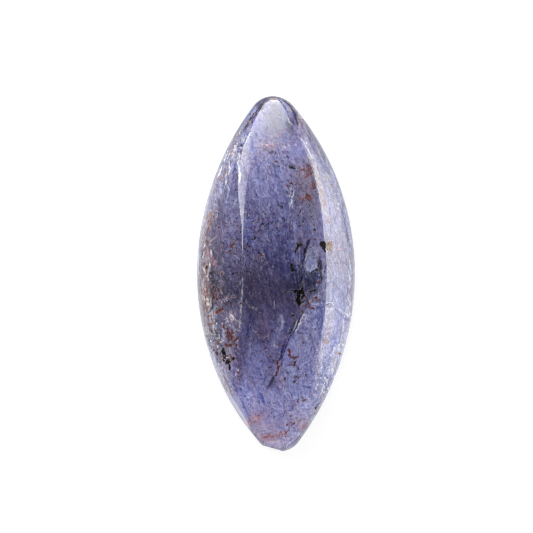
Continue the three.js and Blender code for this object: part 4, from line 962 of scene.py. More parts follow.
# Short lines for an ink's specks, each with its own place, size and lean.
def scattered(ink):
    dice = np.random.default_rng(70 + list(inks).index(ink))
    lines = []
    for middleX, middleY, *halves, turn, count, size in specks.get(ink, []):
        angle = math.radians(turn)
        dx, dy = (dice.normal(size=(count, 2)) * 0.6 * halves).T
        x = middleX + dx * math.cos(angle) - dy * math.sin(angle)
        y = middleY + dx * math.sin(angle) + dy * math.cos(angle)
        reach = size * dice.uniform(0.1, 0.8, count)
        lean = dice.uniform(0, math.pi, count)
        wide = size * dice.uniform(0.6, 1.2, count)
        along, over = reach * np.cos(lean) / 2, reach * np.sin(lean) / 2
        lines += np.stack([wide, x - along, y - over, x + along, y + over], axis=1).tolist()
    return lines


# How far each point lies inside a leaning oval: 1 in the middle, 0.37 on the border, 0 outside.
def oval(px, py, middleX, middleY, halfX, halfY, turn, edge):
    angle = math.radians(turn)
    dx, dy = px - middleX, py - middleY
    u = (dx * math.cos(angle) + dy * math.sin(angle)) / halfX
    v = (dy * math.cos(angle) - dx * math.sin(angle)) / halfY
    return np.exp(-((u * u + v * v) ** edge))


# Points' shares along the straight line between two places, kept between 0 and 1, and their distances
# from it.
def besideLine(x, y, start, end):
    alongX, alongY = end[0] - start[0], end[1] - start[1]
    share = ((x - start[0]) * alongX + (y - start[1]) * alongY) / (alongX**2 + alongY**2)
    share = np.clip(share, 0, 1)
    return share, np.hypot(x - start[0] - share * alongX, y - start[1] - share * alongY)


# 1 inside a polygon and 0 outside, with a ramp across its border: the distance to the nearest side,
# counted as positive where a line to the right crosses an odd number of sides.
def patch(px, py, soft, corners):
    corners = np.reshape(corners, (-1, 2)).astype(float)
    nearest = np.full(px.shape, 1e9)
    inside = np.zeros(px.shape, bool)
    for start, end in zip(corners, np.roll(corners, -1, axis=0)):
        nearest = np.minimum(nearest, besideLine(px, py, start, end)[1])
        if end[1] != start[1]:
            crossing = start[0] + (py - start[1]) * (end[0] - start[0]) / (end[1] - start[1])
            inside ^= ((start[1] > py) != (end[1] > py)) & (px < crossing)
    ramp = np.clip(0.5 + np.where(inside, nearest, -nearest) / (2 * soft), 0, 1)
    return ramp * ramp * (3 - 2 * ramp)


# How much of each point a drawn line covers: 1 on the line through its pixels, with soft sides. Smooth
# noise makes it swell, and a long line has thin ends.
def stroke(px, py, width, route):
    route = np.reshape(route, (-1, 2)).astype(float)
    low, high = route.min(axis=0) - width - 2, route.max(axis=0) + width + 2
    near = np.flatnonzero((px > low[0]) & (px < high[0]) & (py > low[1]) & (py < high[1]))
    x, y = px[near], py[near]
    nearest, along = np.full(x.shape, 1e9), np.zeros(x.shape)
    total = 0.0
    for start, end in zip(route[:-1], route[1:]):
        share, distance = besideLine(x, y, start, end)
        length = math.hypot(*(end - start))
        along = np.where(distance < nearest, total + share * length, along)
        nearest = np.minimum(nearest, distance)
        total += length
    swell = rippled(pen["mean"], x, y, pen["swell"])
    ends = np.clip(np.minimum(along, total - along) / pen["thinEnds"], 0.3, 1)
    taper = 1 - (1 - ends) * np.clip(total / pen["longFrom"] - 1, 0, 1)
    half = np.maximum(width / 2 * swell * taper, pen["least"])
    cover = np.zeros(px.shape)
    cover[near] = np.clip((half - nearest) / pen["soft"] + 0.5, 0, 1)
    return cover


# Sum of a few sine waves of falling length: smooth noise between about -1 and 1.
def ripple(px, py, length, seed):
    dice = np.random.default_rng(seed)
    total = 0
    for octave in range(6):
        angle, phase = dice.uniform(0, 2 * np.pi, 2)
        wave = 2 * np.pi / length * 1.45**octave
        total = total + np.sin(wave * (px * math.cos(angle) + py * math.sin(angle)) + phase) / 1.2**octave
    return total / 2.5


# A value with ripples added to it.
def rippled(value, px, py, waves):
    for size, length, seed in waves:
        value = value + size * ripple(px, py, length, seed)
    return value


# Pixels shifted as one kind of border wavers.
def shifted(px, py, kind):
    sideways, upright = borders[kind]
    return rippled(px, px, py, sideways), rippled(py, px, py, upright)


# Colour zones and haze of points that show at (px, py), on the stone's own places in millimetres. A
# tint multiplies what is there, and a milky layer lies over those before it.
def paintZones(points, px, py):
    wavy, jagged = shifted(px, py, "wavy"), shifted(px, py, "jagged")

    def inOval(place):
        return oval(*(wavy if min(place[2:4]) > wavyFrom else jagged), *place)

    half = np.maximum(halfWidthAt(points[:, 1]), 1e-6)
    outwards = np.abs(points[:, 0] - leanAt(points[:, 1])) / half
    rim, spread, rimShadeShare = crystal["paintedRimShade"]
    tints = [(inOval(place), share) for *place, share in tintOvals]
    tints += [(patch(*jagged, soft, corners), share) for share, soft, *corners in tintPatches]
    # a darker blue line just inside the rim: painted edge shade
    tints.append((np.exp(-(((outwards - rim) / spread) ** 2)), rimShadeShare))
    tint = np.ones((len(points), 3))
    for inside, share in tints:
        tint *= 1 - inside[:, None] * (1 - np.array(share))
    low, high, *rimLightVeil = crystal["paintedRimLight"]
    layers = [(inOval(place), dense, colour) for *place, dense, colour in hazeOvals]
    for colour, dense, soft, *corners in hazePatches:
        layers.append((patch(*jagged, soft, corners), dense, colour))
    # a pale blue veil over the rim: painted edge light
    layers.append((np.clip((outwards - low) / (high - low), 0, 1), *rimLightVeil))
    haze = np.zeros((len(points), 4))
    for inside, dense, colour in layers:
        added = dense * inside[:, None]
        amount = haze[:, 3:] * (1 - added) + added
        colours = haze[:, :3] * haze[:, 3:] * (1 - added) + np.array(colour) * added
        haze = np.hstack([colours / np.maximum(amount, 1e-6), amount])
    haze[haze[:, 3] < 0.02, :3] = crystal["milk"]
    crackle, calm = np.zeros(len(points)), np.full(len(points), crystal["calm"])
    for *place, dense in crackleOvals:
        crackle = np.maximum(crackle, dense * inOval(place))
    for *place, dense in calmOvals:
        calm = np.maximum(calm, dense * inOval(place))
    return tint, haze, crackle, calm


# Lays the drawn lines, specks and blots over the zones, ink by ink.
def drawLines(px, py, tint, haze):
    wobbly = shifted(px, py, "wobbly")
    spots = {"white": chalkFlecks, "rust": rustFlecks, "black": graphiteFlecks}
    for ink, (share, dense, colour) in inks.items():
        dots = spots[ink]["spots"] if ink in spots else []
        lines = strokes.get(ink, []) + [(size * 0.9, x - 0.2, y, x + 0.2, y) for x, y, size in dots]
        covers = [stroke(*wobbly, width, route) for width, *route in lines + scattered(ink)]
        covers += [patch(*wobbly, pen["blotSoft"], corners) for corners in blots.get(ink, [])]
        for cover in covers:
            cover = cover[:, None]
            tint *= 1 - cover * (1 - np.array(share))
            haze[:, :3] *= 1 - cover * (1 - np.array(share))
            haze[:, :3] += cover * (dense > 0) * (np.array(colour) - haze[:, :3])
            haze[:, 3:] = np.maximum(haze[:, 3:], cover * dense)


# Stores the colour zones on the stone's points as attributes that its material reads.
def paintStone(piece):
    corners = np.empty(len(piece.data.vertices) * 3, np.float32)
    piece.data.vertices.foreach_get("co", corners)
    points = corners.reshape(-1, 3) / mm
    px, py = toPhoto(points)
    tint, haze, crackle, calm = paintZones(points, px, py)
    drawLines(px, py, tint, haze)
    dome = points[:, 2] > stone["girdleTop"] - 0.01
    tint[~dome] = 1
    haze[~dome, 3] = 0
    tint = np.hstack([np.clip(tint, 0, 1), np.ones((len(points), 1))])
    for name, values in (("tint", tint), ("haze", haze)):
        layer = piece.data.attributes.new(name, "FLOAT_COLOR", "POINT")
        layer.data.foreach_set("color", values.astype(np.float32).ravel())
    ground = points[:, 2] < stone["backBevel"] / 2
    rough = np.where(ground, crystal["groundBack"], crystal["roughness"])
    numbers = {"hazeAmount": haze[:, 3], "crackle": crackle * dome, "calm": calm, "rough": rough}
    for name, values in numbers.items():
        layer = piece.data.attributes.new(name, "FLOAT", "POINT")
        layer.data.foreach_set("value", values.astype(np.float32))


def crystalFinish():
    f = Finish("violetCrystal")
    lean = crystal["streakTurn"]

    def noise(name, turn):
        stretch, *settings = crystal[name]
        return f.noise(f.turned(turn, stretch), *settings)

    # 1 where a noise passes through its middle value: thin lines like the contours of a map
    def contours(name):
        away = noise(name, lean) - 0.5
        return 1 - f.band(away * away, 0.0, crystal["lineWidth"])

    streaks, mottle, grain = noise("streaks", lean), noise("mottle", 0.0), noise("grain", lean * 2)
    tone = streaks * 0.30 + mottle * 0.26 + grain * 0.44
    shade = f.blend(f.band(tone, 0.415, 0.60), *crystal["shades"])
    # hue drifts between blue and a greyer pink, in long streaks and in small clouds
    drift = noise("drift", lean) * 0.6 + noise("clouds", 40.0) * 0.4
    shade = f.blend(1.0, shade, f.blend(f.band(drift, 0.42, 0.58), *crystal["hues"]), "MULTIPLY")
    calm = f.stored("calm")
    calmer = 1 - calm * 0.8
    shade = f.blend(calm, shade, crystal["calmShade"])
    veins = contours("veins") * f.band(mottle, 0.44, 0.56)
    shade = f.blend(veins * 0.75, shade, crystal["veinShade"], "MULTIPLY")
    # specks: small balls in some of the cells of a grid, dark and light
    cells = {"Vector": f.turned(), "Scale": crystal["cells"]}
    away = f.node("TexVoronoi", {}, cells, "Distance")
    dice = f.node("SeparateColor", {}, {0: f.node("TexVoronoi", {}, cells, "Color")}, "Red")
    speck = (1 - f.band(away, 0.14, 0.34)) * f.band(mottle, 0.40, 0.56)
    dark = speck * f.band(dice, 0.72, 0.76) * calmer
    shade = f.blend(dark, shade, crystal["speckShade"], "MULTIPLY")
    # crackle: the borders of irregular cells, dark, and beside them a painted white glint
    place = f.turned()
    drifting = f.node("TexNoise", {}, {"Vector": place, "Scale": 2.5, "Detail": 3.0}, "Color")
    bent = f.node("VectorMath", {"operation": "ADD"}, {0: place, 1: drifting})
    cells = {"Vector": bent, "Scale": crystal["crackles"]}
    border = f.node("TexVoronoi", {"feature": "DISTANCE_TO_EDGE"}, cells, "Distance")
    crackle = f.stored("crackle")
    dark = (1 - f.band(border, 0.01, 0.08)) * f.band(grain, 0.36, 0.50) * crackle
    shade = f.blend(dark.clamped(), shade, crystal["crackShade"], "MULTIPLY")
    # a thin white band beside each dark border: painted glint
    crackleGlint = f.band(border, 0.05, 0.08) * (1 - f.band(border, 0.10, 0.18))
    crackleGlint = crackleGlint * f.band(streaks, 0.44, 0.56) * crackle
    colour = f.blend(1.0, f.stored("tint", "Color"), shade, "MULTIPLY")
    strength, depth = crystal["bump"]
    pits = f.noise(f.turned(), crystal["pits"])
    bump = f.node("Bump", {}, {"Strength": strength, "Distance": depth, "Height": pits})
    gloss = {"Roughness": f.stored("rough"), "IOR": refraction, "Normal": bump}
    clear = f.node("BsdfPrincipled", {}, {"Base Color": colour, "Transmission Weight": 1.0, **gloss})
    milk = f.stored("haze", "Color")
    milk = f.blend(0.6, milk, f.blend(1.0, milk, shade, "MULTIPLY"))
    # the milk's glow is painted light, for the light that comes up through the crystal
    paintedMilkGlow = {"Emission Color": milk, "Emission Strength": crystal["paintedGlow"]}
    milky = f.node("BsdfPrincipled", {}, {"Base Color": milk, **paintedMilkGlow, **gloss})
    # the haze is uneven, and has white threads and pale specks in it
    amount = f.stored("hazeAmount")
    uneven = f.band(streaks * 0.4 + grain * 0.6, 0.40, 0.60) - 0.5
    patchy = 1 + uneven * (1.3 + crackle * 0.9) * (1 - amount) * calmer
    white = contours("threads") * f.band(grain, 0.46, 0.58)
    pale = speck * (1 - f.band(dice, 0.20, 0.26))
    haze = amount * patchy + (white * 0.34 + pale * 0.36) * (1 - calm) + crackleGlint * 0.75
    f.surface(f.node("MixShader", {}, {0: haze.clamped(), 1: clear, 2: milky}))
    strongest = max(crystal["absorbed"])
    colour = tuple(1 - share / strongest for share in crystal["absorbed"])
    f.volume(f.node("VolumeAbsorption", {}, {"Color": (*colour, 1.0), "Density": strongest / mm}))
    return f.material


# Rows of vectors, each scaled to length 1.
def unit(vectors):
    return vectors / np.maximum(np.linalg.norm(vectors, axis=-1, keepdims=True), 1e-9)


# Rough crystals: a ball of three rings and two poles, repeated with its own size, tilt and dents, and
# flattened along a direction near the vertical.
def crystals(places, sizes, flat, dice):
    rings, around = 3, 6
    polar = np.pi * np.arange(1, rings + 1)[:, None] / (rings + 1)
    turn = 2 * np.pi * np.arange(around)[None, :] / around
    ball = [np.sin(polar) * np.cos(turn), np.sin(polar) * np.sin(turn), np.cos(polar) + 0 * turn]
    ball = np.vstack([np.stack(ball, axis=-1).reshape(-1, 3), [0, 0, 1], [0, 0, -1]])
    here = np.arange(around)
    after = (here + 1) % around
    last = (rings - 1) * around
    quads = ringFaces(rings, around)[:, ::-1]
    upper = np.stack([here, after, np.full(around, len(ball) - 2)], axis=1)
    lower = np.stack([last + after, last + here, np.full(around, len(ball) - 1)], axis=1)
    caps = np.vstack([upper, lower])
    count = len(places)
    third = unit(dice.normal(size=(count, 3)) * 0.45 + [0, 0, 1])
    first = unit(np.cross(dice.normal(size=(count, 3)), third))
    frames = np.stack([first, np.cross(third, first), third], axis=-1)
    stretch = np.stack([np.ones(count), dice.uniform(0.5, 1.0, count), np.full(count, flat)], axis=1)
    dents = dice.uniform(0.65, 1.3, (count, len(ball), 1))
    local = ball[None] * dents * stretch[:, None, :] * np.asarray(sizes)[:, None, None]
    points = np.einsum("nij,nkj->nki", frames, local) + places[:, None, :]
    offsets = (np.arange(count) * len(ball))[:, None, None]
    faces = (quads[None] + offsets).reshape(-1, 4).tolist() + (caps[None] + offsets).reshape(-1, 3).tolist()
    return points.reshape(-1, 3), faces


# Grains strewn in patches, and single ones at spots, each made of three crystals near the surface.
def strew(name, flecks, material):
    dice = np.random.default_rng(flecks["seed"])
    flat = flecks["flat"]
    spots = [(x, y, size / 4, size / 4, 0, 3, size * 0.85, 0.0, 0.02) for x, y, size in flecks["spots"]]
    pixels, sizes, depths = [], [], []
    for middleX, middleY, wide, high, turn, count, size, shallow, deep in flecks["patches"] + spots:
        spread = dice.normal(size=(count, 2)) * 0.55 * [wide, high]
        angle = math.radians(turn)
        spread = spread @ np.array([[math.cos(angle), -math.sin(angle)], [math.sin(angle), math.cos(angle)]])
        pixels.append(spread + [middleX, middleY])
        sizes.append(size * np.exp(dice.normal(size=count) * 0.35) / 2 / photo["perMm"])
        depths.append(dice.uniform(shallow, deep, count))
    x, y = fromPhoto(np.concatenate(pixels))
    sizes, depths = np.concatenate(sizes), np.concatenate(depths)
    inside = wellInside(x, y) & (np.abs(y) < 0.96 * halfLength)
    places = under(x[inside], y[inside], depths[inside] + sizes[inside] * flat)
    points, faces = crystals(places, sizes[inside], flat, dice)
    settle(makePiece(name, points, faces, smooth=False), material)


# Straight steps between random values along a line, all between -1 and 1.
def wander(count, steps, dice):
    knots = dice.uniform(-1, 1, max(2, int(steps)) + 1)
    return np.interp(np.linspace(0, 1, count), np.linspace(0, 1, len(knots)), knots)


threadStep = 0.04  # millimetres between the sections of a thread


# Thin walls and threads: a four-sided section, wide across and tall downwards, carried along a path that
# runs through a few photograph pixels, jittered between them, and pinched to nothing at both ends.
def threads(name, routes, material, seed):
    dice = np.random.default_rng(seed)
    allPoints, allFaces, base = [], [], 0
    for route, width, tall, depth, jitter in routes:
        route = np.array(route, float)
        lengths = np.concatenate([[0], np.cumsum(np.linalg.norm(np.diff(route, axis=0), axis=1))])
        count = max(8, int(lengths[-1] / photo["perMm"] / threadStep))
        along = np.linspace(0, lengths[-1], count)
        pixels = np.stack([np.interp(along, lengths, route[:, axis]) for axis in (0, 1)], axis=1)
        pixels += jitter * np.stack([wander(count, count / 4, dice), wander(count, count / 4, dice)], axis=1)
        x, y = fromPhoto(pixels)
        path = under(x, y, np.full(count, depth) * (1 + 0.3 * wander(count, count / 10, dice)))
        forward = np.gradient(path, axis=0)
        sideways = np.stack([-forward[:, 1], forward[:, 0], np.zeros(count)], axis=1)
        sideways /= np.maximum(np.linalg.norm(sideways, axis=1, keepdims=True), 1e-9)
        pinch = np.sin(np.pi * np.clip(np.linspace(0.01, 0.99, count), 0, 1)) ** 0.5
        pinch *= 1 + 0.6 * wander(count, count / 3, dice)
        half = sideways * (width / photo["perMm"] / 2 * pinch)[:, None]
        drop = np.array([0, 0, 1.0]) * (tall * pinch)[:, None]
        section = np.stack([path + half, path + drop * 0.3, path - half, path - drop * 0.7], axis=1)
        allPoints.append(section.reshape(-1, 3))
        allFaces += (ringFaces(count, 4) + base).tolist()
        end = base + 4 * (count - 1)
        allFaces += [[base + 3, base + 2, base + 1, base], [end, end + 1, end + 2, end + 3]]
        base += 4 * count
    settle(makePiece(name, np.concatenate(allPoints), allFaces), material)


# Thin crystals: outlines in photograph pixels, roughened, laid at a depth under the dome and thickened.
def makePlates(name, plates, material):
    dice = np.random.default_rng(plates["seed"])
    allPoints, allFaces, base = [], [], 0
    for outline in plates["outlines"]:
        corners = np.reshape(outline, (-1, 2)).astype(float)
        after = np.roll(corners, -1, axis=0)
        steps = np.linspace(0, 1, 5)[:-1, None, None]
        pixels = (corners[None] * (1 - steps) + after[None] * steps).transpose(1, 0, 2).reshape(-1, 2)
        x, y = fromPhoto(pixels + dice.normal(size=pixels.shape) * plates["rough"])
        count = len(x)
        depth = np.full(count, plates["depth"])
        allPoints += [under(x, y, depth), under(x, y, depth + plates["thick"])]
        top = np.arange(count)[::-1] + base
        sides = ringFaces(2, count)[:, ::-1] + base
        allFaces += [top.tolist(), (top[::-1] + count).tolist()] + sides.tolist()
        base += 2 * count
    settle(makePiece(name, np.concatenate(allPoints), allFaces, smooth=False), material)


# Matt finishes of the inclusions, with a painted glow of their own standing in for the light that the
# crystal round them gathers. Each noise is scale, detail and roughness; where it rises through the band,
# the first colour turns into the second. Stains are a turn in degrees, a noise, a band, a share and a colour.
inclusionLooks = {
    "rustCrystals": {
        "noise": (1.2, 2.0), "band": (0.42, 0.58),
        "colours": ((0.26, 0.032, 0.026), (0.10, 0.010, 0.012)),
        "stains": [(0.0, (9.0, 2.0), (0.5, 0.7), 0.5, (0.36, 0.10, 0.075))],
        "paintedGlow": 0.5,
    },
    "ochreCrystals": {
        "noise": (2.0, 2.0), "band": (0.42, 0.58),
        "colours": ((0.62, 0.26, 0.14), (0.42, 0.28, 0.18)),
        "paintedGlow": 0.6,
    },
    "graphite": {
        "noise": (8.0, 2.0), "band": (0.45, 0.62),
        "colours": ((0.004, 0.002, 0.003), (0.022, 0.011, 0.012)),
        "paintedGlow": 0.1,
        "shine": 0.1,
    },
    "chalkFlecks": {
        "noise": (3.0, 2.0), "band": (0.40, 0.60),
        "colours": ((0.40, 0.38, 0.45), (0.88, 0.88, 0.90)),
        "paintedGlow": 0.6,
    },
    "crackShadow": {
        "noise": (4.0, 2.0), "band": (0.45, 0.6),
        "colours": ((0.015, 0.01, 0.03), (0.05, 0.04, 0.13)),
        "paintedGlow": 0.3,
    },
    "paleWisps": {
        "noise": (1.5, 2.0), "band": (0.35, 0.65),
        "colours": ((0.50, 0.50, 0.80), (0.90, 0.90, 0.98)),
        "paintedGlow": 0.6,
    },
    "darkHairs": {
        "noise": (1.5, 2.0), "band": (0.40, 0.60),
        "colours": ((0.03, 0.025, 0.09), (0.07, 0.07, 0.22)),
        "paintedGlow": 0.4,
    },
    "creamCrystal": {
        "noise": (7.0, 4.0, 0.8), "band": (0.40, 0.60),
        "colours": ((0.17, 0.13, 0.095), (0.46, 0.39, 0.32)),
        "stains": [(30.0, (4.0, 3.0), (0.52, 0.62), 0.7, (0.42, 0.20, 0.10))],
        "paintedGlow": 0.45,
    },
}


def inclusionFinish(name):
    f = Finish(name)
    look = inclusionLooks[name]
    shade = f.noise(f.turned(), *look["noise"])
    colour = f.blend(f.band(shade, *look["band"]), *look["colours"])
    for turn, noise, band, share, stain in look.get("stains", []):
        spread = f.band(f.noise(f.turned(turn), *noise), *band)
        colour = f.blend(spread * share, colour, stain)
    sockets = {
        "Base Color": colour,
        "Roughness": 0.6,
        "IOR": refraction,
        "Specular IOR Level": look.get("shine", 0.5),
        # the inclusions glow in their own colour: painted light
        "Emission Color": colour,
        "Emission Strength": look["paintedGlow"],
    }
    f.surface(f.node("BsdfPrincipled", {}, sockets))
    return f.material


# Grains in the stone. Flat is a grain's height against its width. Patches are x, y, half width and half
# height in photograph pixels, turn in degrees, how many grains, their size in pixels, and their least
# and greatest depth in millimetres. Spots are x, y and size of single grains, in pixels.
rustFlecks = {
    "flat": 0.45,
    "seed": 11,
    "patches": [
        (309, 169, 5, 7, 0, 26, 2, 0.03, 0.2), (313, 186, 4, 4, 0, 16, 2, 0.03, 0.2),
        (307, 198, 5, 4, 0, 18, 2, 0.03, 0.2), (298, 180, 8, 14, 0, 16, 1.4, 0.06, 0.36),
        (288.5, 185, 1.5, 3.5, 0, 8, 1.8, 0.06, 0.16), (287, 193, 1.5, 2, 0, 4, 1.5, 0.06, 0.16),
        (277, 161, 2, 1.2, 0, 4, 1.6, 0.06, 0.16), (260, 224, 34, 16, 0, 70, 1.15, 0.09, 0.64),
        (240, 245, 16, 14, 0, 36, 1.2, 0.09, 0.56), (233, 246, 4, 4, 0, 8, 1.9, 0.06, 0.2),
        (260, 255, 4, 3.5, 0, 5, 2, 0.09, 0.28), (300, 245, 3, 2, 0, 7, 1.5, 0.09, 0.24),
        (216, 292, 5, 10, 0, 26, 1.5, 0.03, 0.16), (219, 311, 4, 2.5, 30, 14, 2, 0.03, 0.12),
        (232, 338, 6, 7, 0, 24, 1.9, 0.03, 0.2), (225, 328, 2, 4, 0, 8, 1.8, 0.03, 0.12),
        (230, 346, 8, 3, 0, 16, 1.8, 0.03, 0.16), (230, 300, 8, 12, 0, 16, 1.2, 0.06, 0.28),
        (262, 342, 12, 12, 20, 26, 1.3, 0.15, 0.64), (310, 306, 6, 5, 0, 16, 1.5, 0.06, 0.24),
        (304, 335, 8, 10, 0, 10, 1.4, 0.09, 0.36), (289.5, 353, 1, 3, 0, 4, 2.1, 0.09, 0.2),
        (295, 357.5, 3, 1, 0, 7, 2.1, 0.09, 0.2), (294, 364, 4, 1.6, 0, 9, 1.9, 0.09, 0.24),
        (287.5, 371, 1, 3, 0, 5, 1.9, 0.09, 0.24), (296, 379, 2.5, 4, 0, 11, 1.7, 0.09, 0.28),
        (284, 379, 1, 1.5, 0, 2, 1.6, 0.09, 0.24), (258, 418, 9, 4, 0, 8, 1.4, 0.3, 0.6),
        (271, 436.5, 6, 2.4, 0, 6, 1.6, 0.2, 0.4), (284, 433, 5, 2.2, -30, 8, 1.5, 0.09, 0.28),
        (290, 425, 5, 4, 0, 7, 1.5, 0.09, 0.32), (304, 400, 3, 2, -30, 6, 1.4, 0.09, 0.28),
        (262, 205, 40, 40, 0, 60, 0.9, 0.09, 0.8), (300, 340, 30, 50, 0, 40, 0.9, 0.09, 0.64),
    ],
    "spots": [
        (236.5, 227, 2.2), (234.5, 242.5, 3.2), (231, 247, 3), (237, 248.5, 2), (262, 255.5, 3.4),
        (262.5, 259, 2.2), (257.5, 258, 2), (247.5, 214, 2.4), (265.5, 214, 2), (258, 220, 2),
        (278, 205, 1.8), (283.5, 217.5, 1.6), (273.5, 209, 1.6), (217, 271.5, 2.2), (222, 273.5, 2),
        (231, 223, 1.8), (289.5, 226, 1.6), (277, 227.5, 1.6), (314, 224.5, 2), (315, 240, 2.4),
        (214, 280, 2.4), (216, 287, 2.4), (219, 290, 2.4), (215, 297, 2.8), (217, 299, 2.2),
        (219, 311, 3.2), (221.5, 309.5, 2.6), (216.5, 313, 2.4), (224, 326, 2.6), (227, 328.5, 2.2),
        (228, 333, 3.2), (230, 336, 3.6), (229, 340, 3), (232, 332.5, 2.4), (237, 338.5, 3.2),
        (235, 340, 2.2), (226, 345, 2.6), (230, 345.5, 2.6), (233, 344.5, 2.2), (236.5, 345, 2.2),
        (236, 349, 2), (217, 353, 2.4), (214, 350, 2), (239, 372, 2.4), (289, 351, 2.2), (290, 355.5, 2.8),
        (293, 357.5, 2.2), (295.5, 357.5, 2.2), (298, 356.5, 2), (295, 362, 2.2), (289, 365, 2),
        (303.5, 343, 2.2), (297.5, 341, 1.8), (310.5, 335, 2), (315.5, 329.5, 1.8), (315.5, 298.5, 2.8),
        (319, 281.5, 2.4), (313.5, 308, 2.4), (287.5, 373, 2.2), (285, 378.5, 1.8), (296, 376, 2),
        (298.5, 377.5, 2.2), (294.5, 381, 2.4), (297, 384, 1.6), (305.5, 399.5, 2.4), (303.5, 401, 2),
        (298, 402, 2), (296, 405, 1.8), (290.5, 416, 2), (287, 425, 1.8), (293.5, 423.5, 2),
        (289, 427.5, 1.6), (309, 387.5, 2), (286, 433, 1.6), (289, 430, 1.4), (276, 161.5, 2.4),
        (271, 168.5, 1.8), (279, 345.5, 2.4), (276.5, 358, 1.6), (271, 356.5, 2), (340, 353.5, 1.8),
        (331, 358, 1.6), (327, 378, 1.6),
    ],
}
ochreFlecks = {
    "flat": 0.4,
    "seed": 12,
    "patches": [
        (207, 262, 3.5, 26, 0, 70, 1.5, 0.03, 0.1), (212, 216, 3, 8, 0, 26, 1.5, 0.03, 0.12),
        (214, 332, 6, 16, 20, 44, 1.5, 0.03, 0.16), (226, 352, 7, 8, 20, 26, 1.6, 0.03, 0.12),
        (322, 190, 3, 26, 14, 34, 1.1, 0.03, 0.12), (328, 221, 1.4, 3, 0, 7, 1.6, 0.03, 0.08),
        (325.5, 177, 1.2, 2, 0, 4, 1.6, 0.03, 0.08), (339.5, 271, 1.5, 3, 0, 6, 1.3, 0.03, 0.08),
        (334, 265, 8, 20, 0, 20, 0.9, 0.03, 0.16), (325.5, 341, 2.6, 2.4, 0, 16, 1.5, 0.03, 0.08),
        (232, 150, 5, 20, 20, 22, 1, 0.03, 0.12), (332, 385, 5, 12, 20, 12, 1, 0.03, 0.12),
    ],
    "spots": [],
}
graphiteFlecks = {
    "flat": 0.5,
    "seed": 13,
    "patches": [
        (299, 292, 4.5, 1.2, 5, 24, 1.2, 0.03, 0.2), (298.5, 300, 1.8, 4.5, -10, 26, 1.2, 0.03, 0.2),
        (306, 300, 5, 5, 0, 14, 1.1, 0.03, 0.2), (293, 167.5, 2.8, 1, 0, 14, 1.5, 0.2, 0.4),
        (212.5, 288, 1.2, 12, 0, 18, 1.5, 0.05, 0.2), (213, 334, 5, 10, 20, 22, 1.3, 0.05, 0.4),
        (262, 224, 34, 22, 0, 150, 1.15, 0.05, 0.5), (306, 212, 12, 16, 0, 60, 1.1, 0.05, 0.4),
        (240, 262, 24, 34, 0, 90, 1.15, 0.05, 0.5), (262, 150, 26, 26, 0, 50, 0.9, 0.05, 0.4),
        (226, 170, 8, 26, 24, 30, 1, 0.05, 0.3), (300, 390, 28, 34, 0, 60, 0.9, 0.05, 0.4),
        (334, 330, 10, 60, 0, 40, 0.9, 0.05, 0.3), (330, 200, 8, 50, -8, 30, 0.9, 0.05, 0.3),
    ],
    "spots": [
        (292, 289.5, 1.8), (294.5, 291, 2.4), (297.5, 292, 2.8), (300.5, 292.5, 3.4), (303, 291, 3.4),
        (303, 287.5, 2.2), (302.5, 284.5, 1.6), (303.5, 294, 2.2), (308, 292, 1.6), (311, 291.5, 1.8),
        (314, 290.5, 2), (316.5, 289.5, 1.6), (284.5, 291, 2), (286, 292.5, 1.4), (297.5, 295.5, 2.4),
        (297, 298.5, 2.8), (298, 301.5, 2.8), (299.5, 304.5, 2.2), (301, 298, 1.6), (302, 302, 1.6),
        (306.5, 297, 1.6), (293, 315.5, 2.4), (294, 323, 1.8), (291.5, 330, 2.2), (289.5, 333, 2.2),
        (299, 245, 2.4), (301.5, 244, 2.2), (297, 248, 2.4), (295.5, 251.5, 2.4), (291.5, 265, 2.8),
        (293, 269, 3), (292, 271.5, 2), (303, 221.5, 2), (314.5, 230, 3), (300, 265, 2), (292, 167.5, 2.2),
        (294.5, 168.5, 2.2), (290, 166.5, 1.6), (280.5, 206.5, 2), (282, 208, 2), (271.5, 223, 2.4),
        (246.5, 231, 1.8), (255, 238.5, 2.2), (245, 248.5, 2), (222, 263.5, 2.2), (210.5, 273.5, 2.2),
        (241, 260, 1.6), (246.5, 261.5, 1.6), (218.5, 213.5, 1.8), (219, 227.5, 1.6), (213, 283, 1.6),
        (212.5, 288, 1.8), (212.5, 293, 1.8), (212, 279, 1.6), (220, 362, 1.6), (306, 375, 1.8),
        (315.5, 408, 2), (206.5, 336, 1.8), (292, 191.5, 1.6), (287, 192, 1.8),
    ],
}
chalkFlecks = {
    "flat": 0.4,
    "seed": 14,
    "patches": [
        (220, 338, 8, 14, -18, 70, 1.7, 0.03, 0.15), (230, 322, 9, 8, 0, 34, 1.3, 0.03, 0.15),
        (226, 352, 7, 9, -10, 40, 1.6, 0.03, 0.15), (207, 250, 4, 26, 0, 46, 1.3, 0.03, 0.12),
        (209, 300, 4, 20, 0, 40, 1.4, 0.03, 0.12), (346, 322, 4, 26, 6, 30, 1.2, 0.03, 0.12),
        (312, 325, 12, 22, 0, 30, 1, 0.03, 0.3), (326, 392, 8, 14, 20, 30, 1.2, 0.03, 0.2),
        (236, 150, 7, 24, 26, 50, 1.2, 0.03, 0.15), (224, 180, 6, 20, 20, 30, 1.2, 0.03, 0.15),
        (282, 144, 14, 5, 0, 24, 1.1, 0.03, 0.2), (238.5, 327, 2, 5, 0, 14, 1.6, 0.03, 0.1),
        (262, 230, 40, 40, 0, 60, 0.8, 0.05, 0.6),
    ],
    "spots": [
        (213, 323, 1.6), (218, 346.5, 1.5), (221, 342, 1.4), (209.5, 318, 1.2), (216, 327, 1.2),
        (211, 341, 1.2), (227, 318, 1.1), (229, 351, 1.1), (219, 336, 1.1), (227, 355, 1.1), (206, 286, 1),
        (323.5, 374, 1.2), (327, 380, 1.2), (320, 388, 1.2), (324, 392.5, 1.7), (322, 384, 1.1),
    ],
}

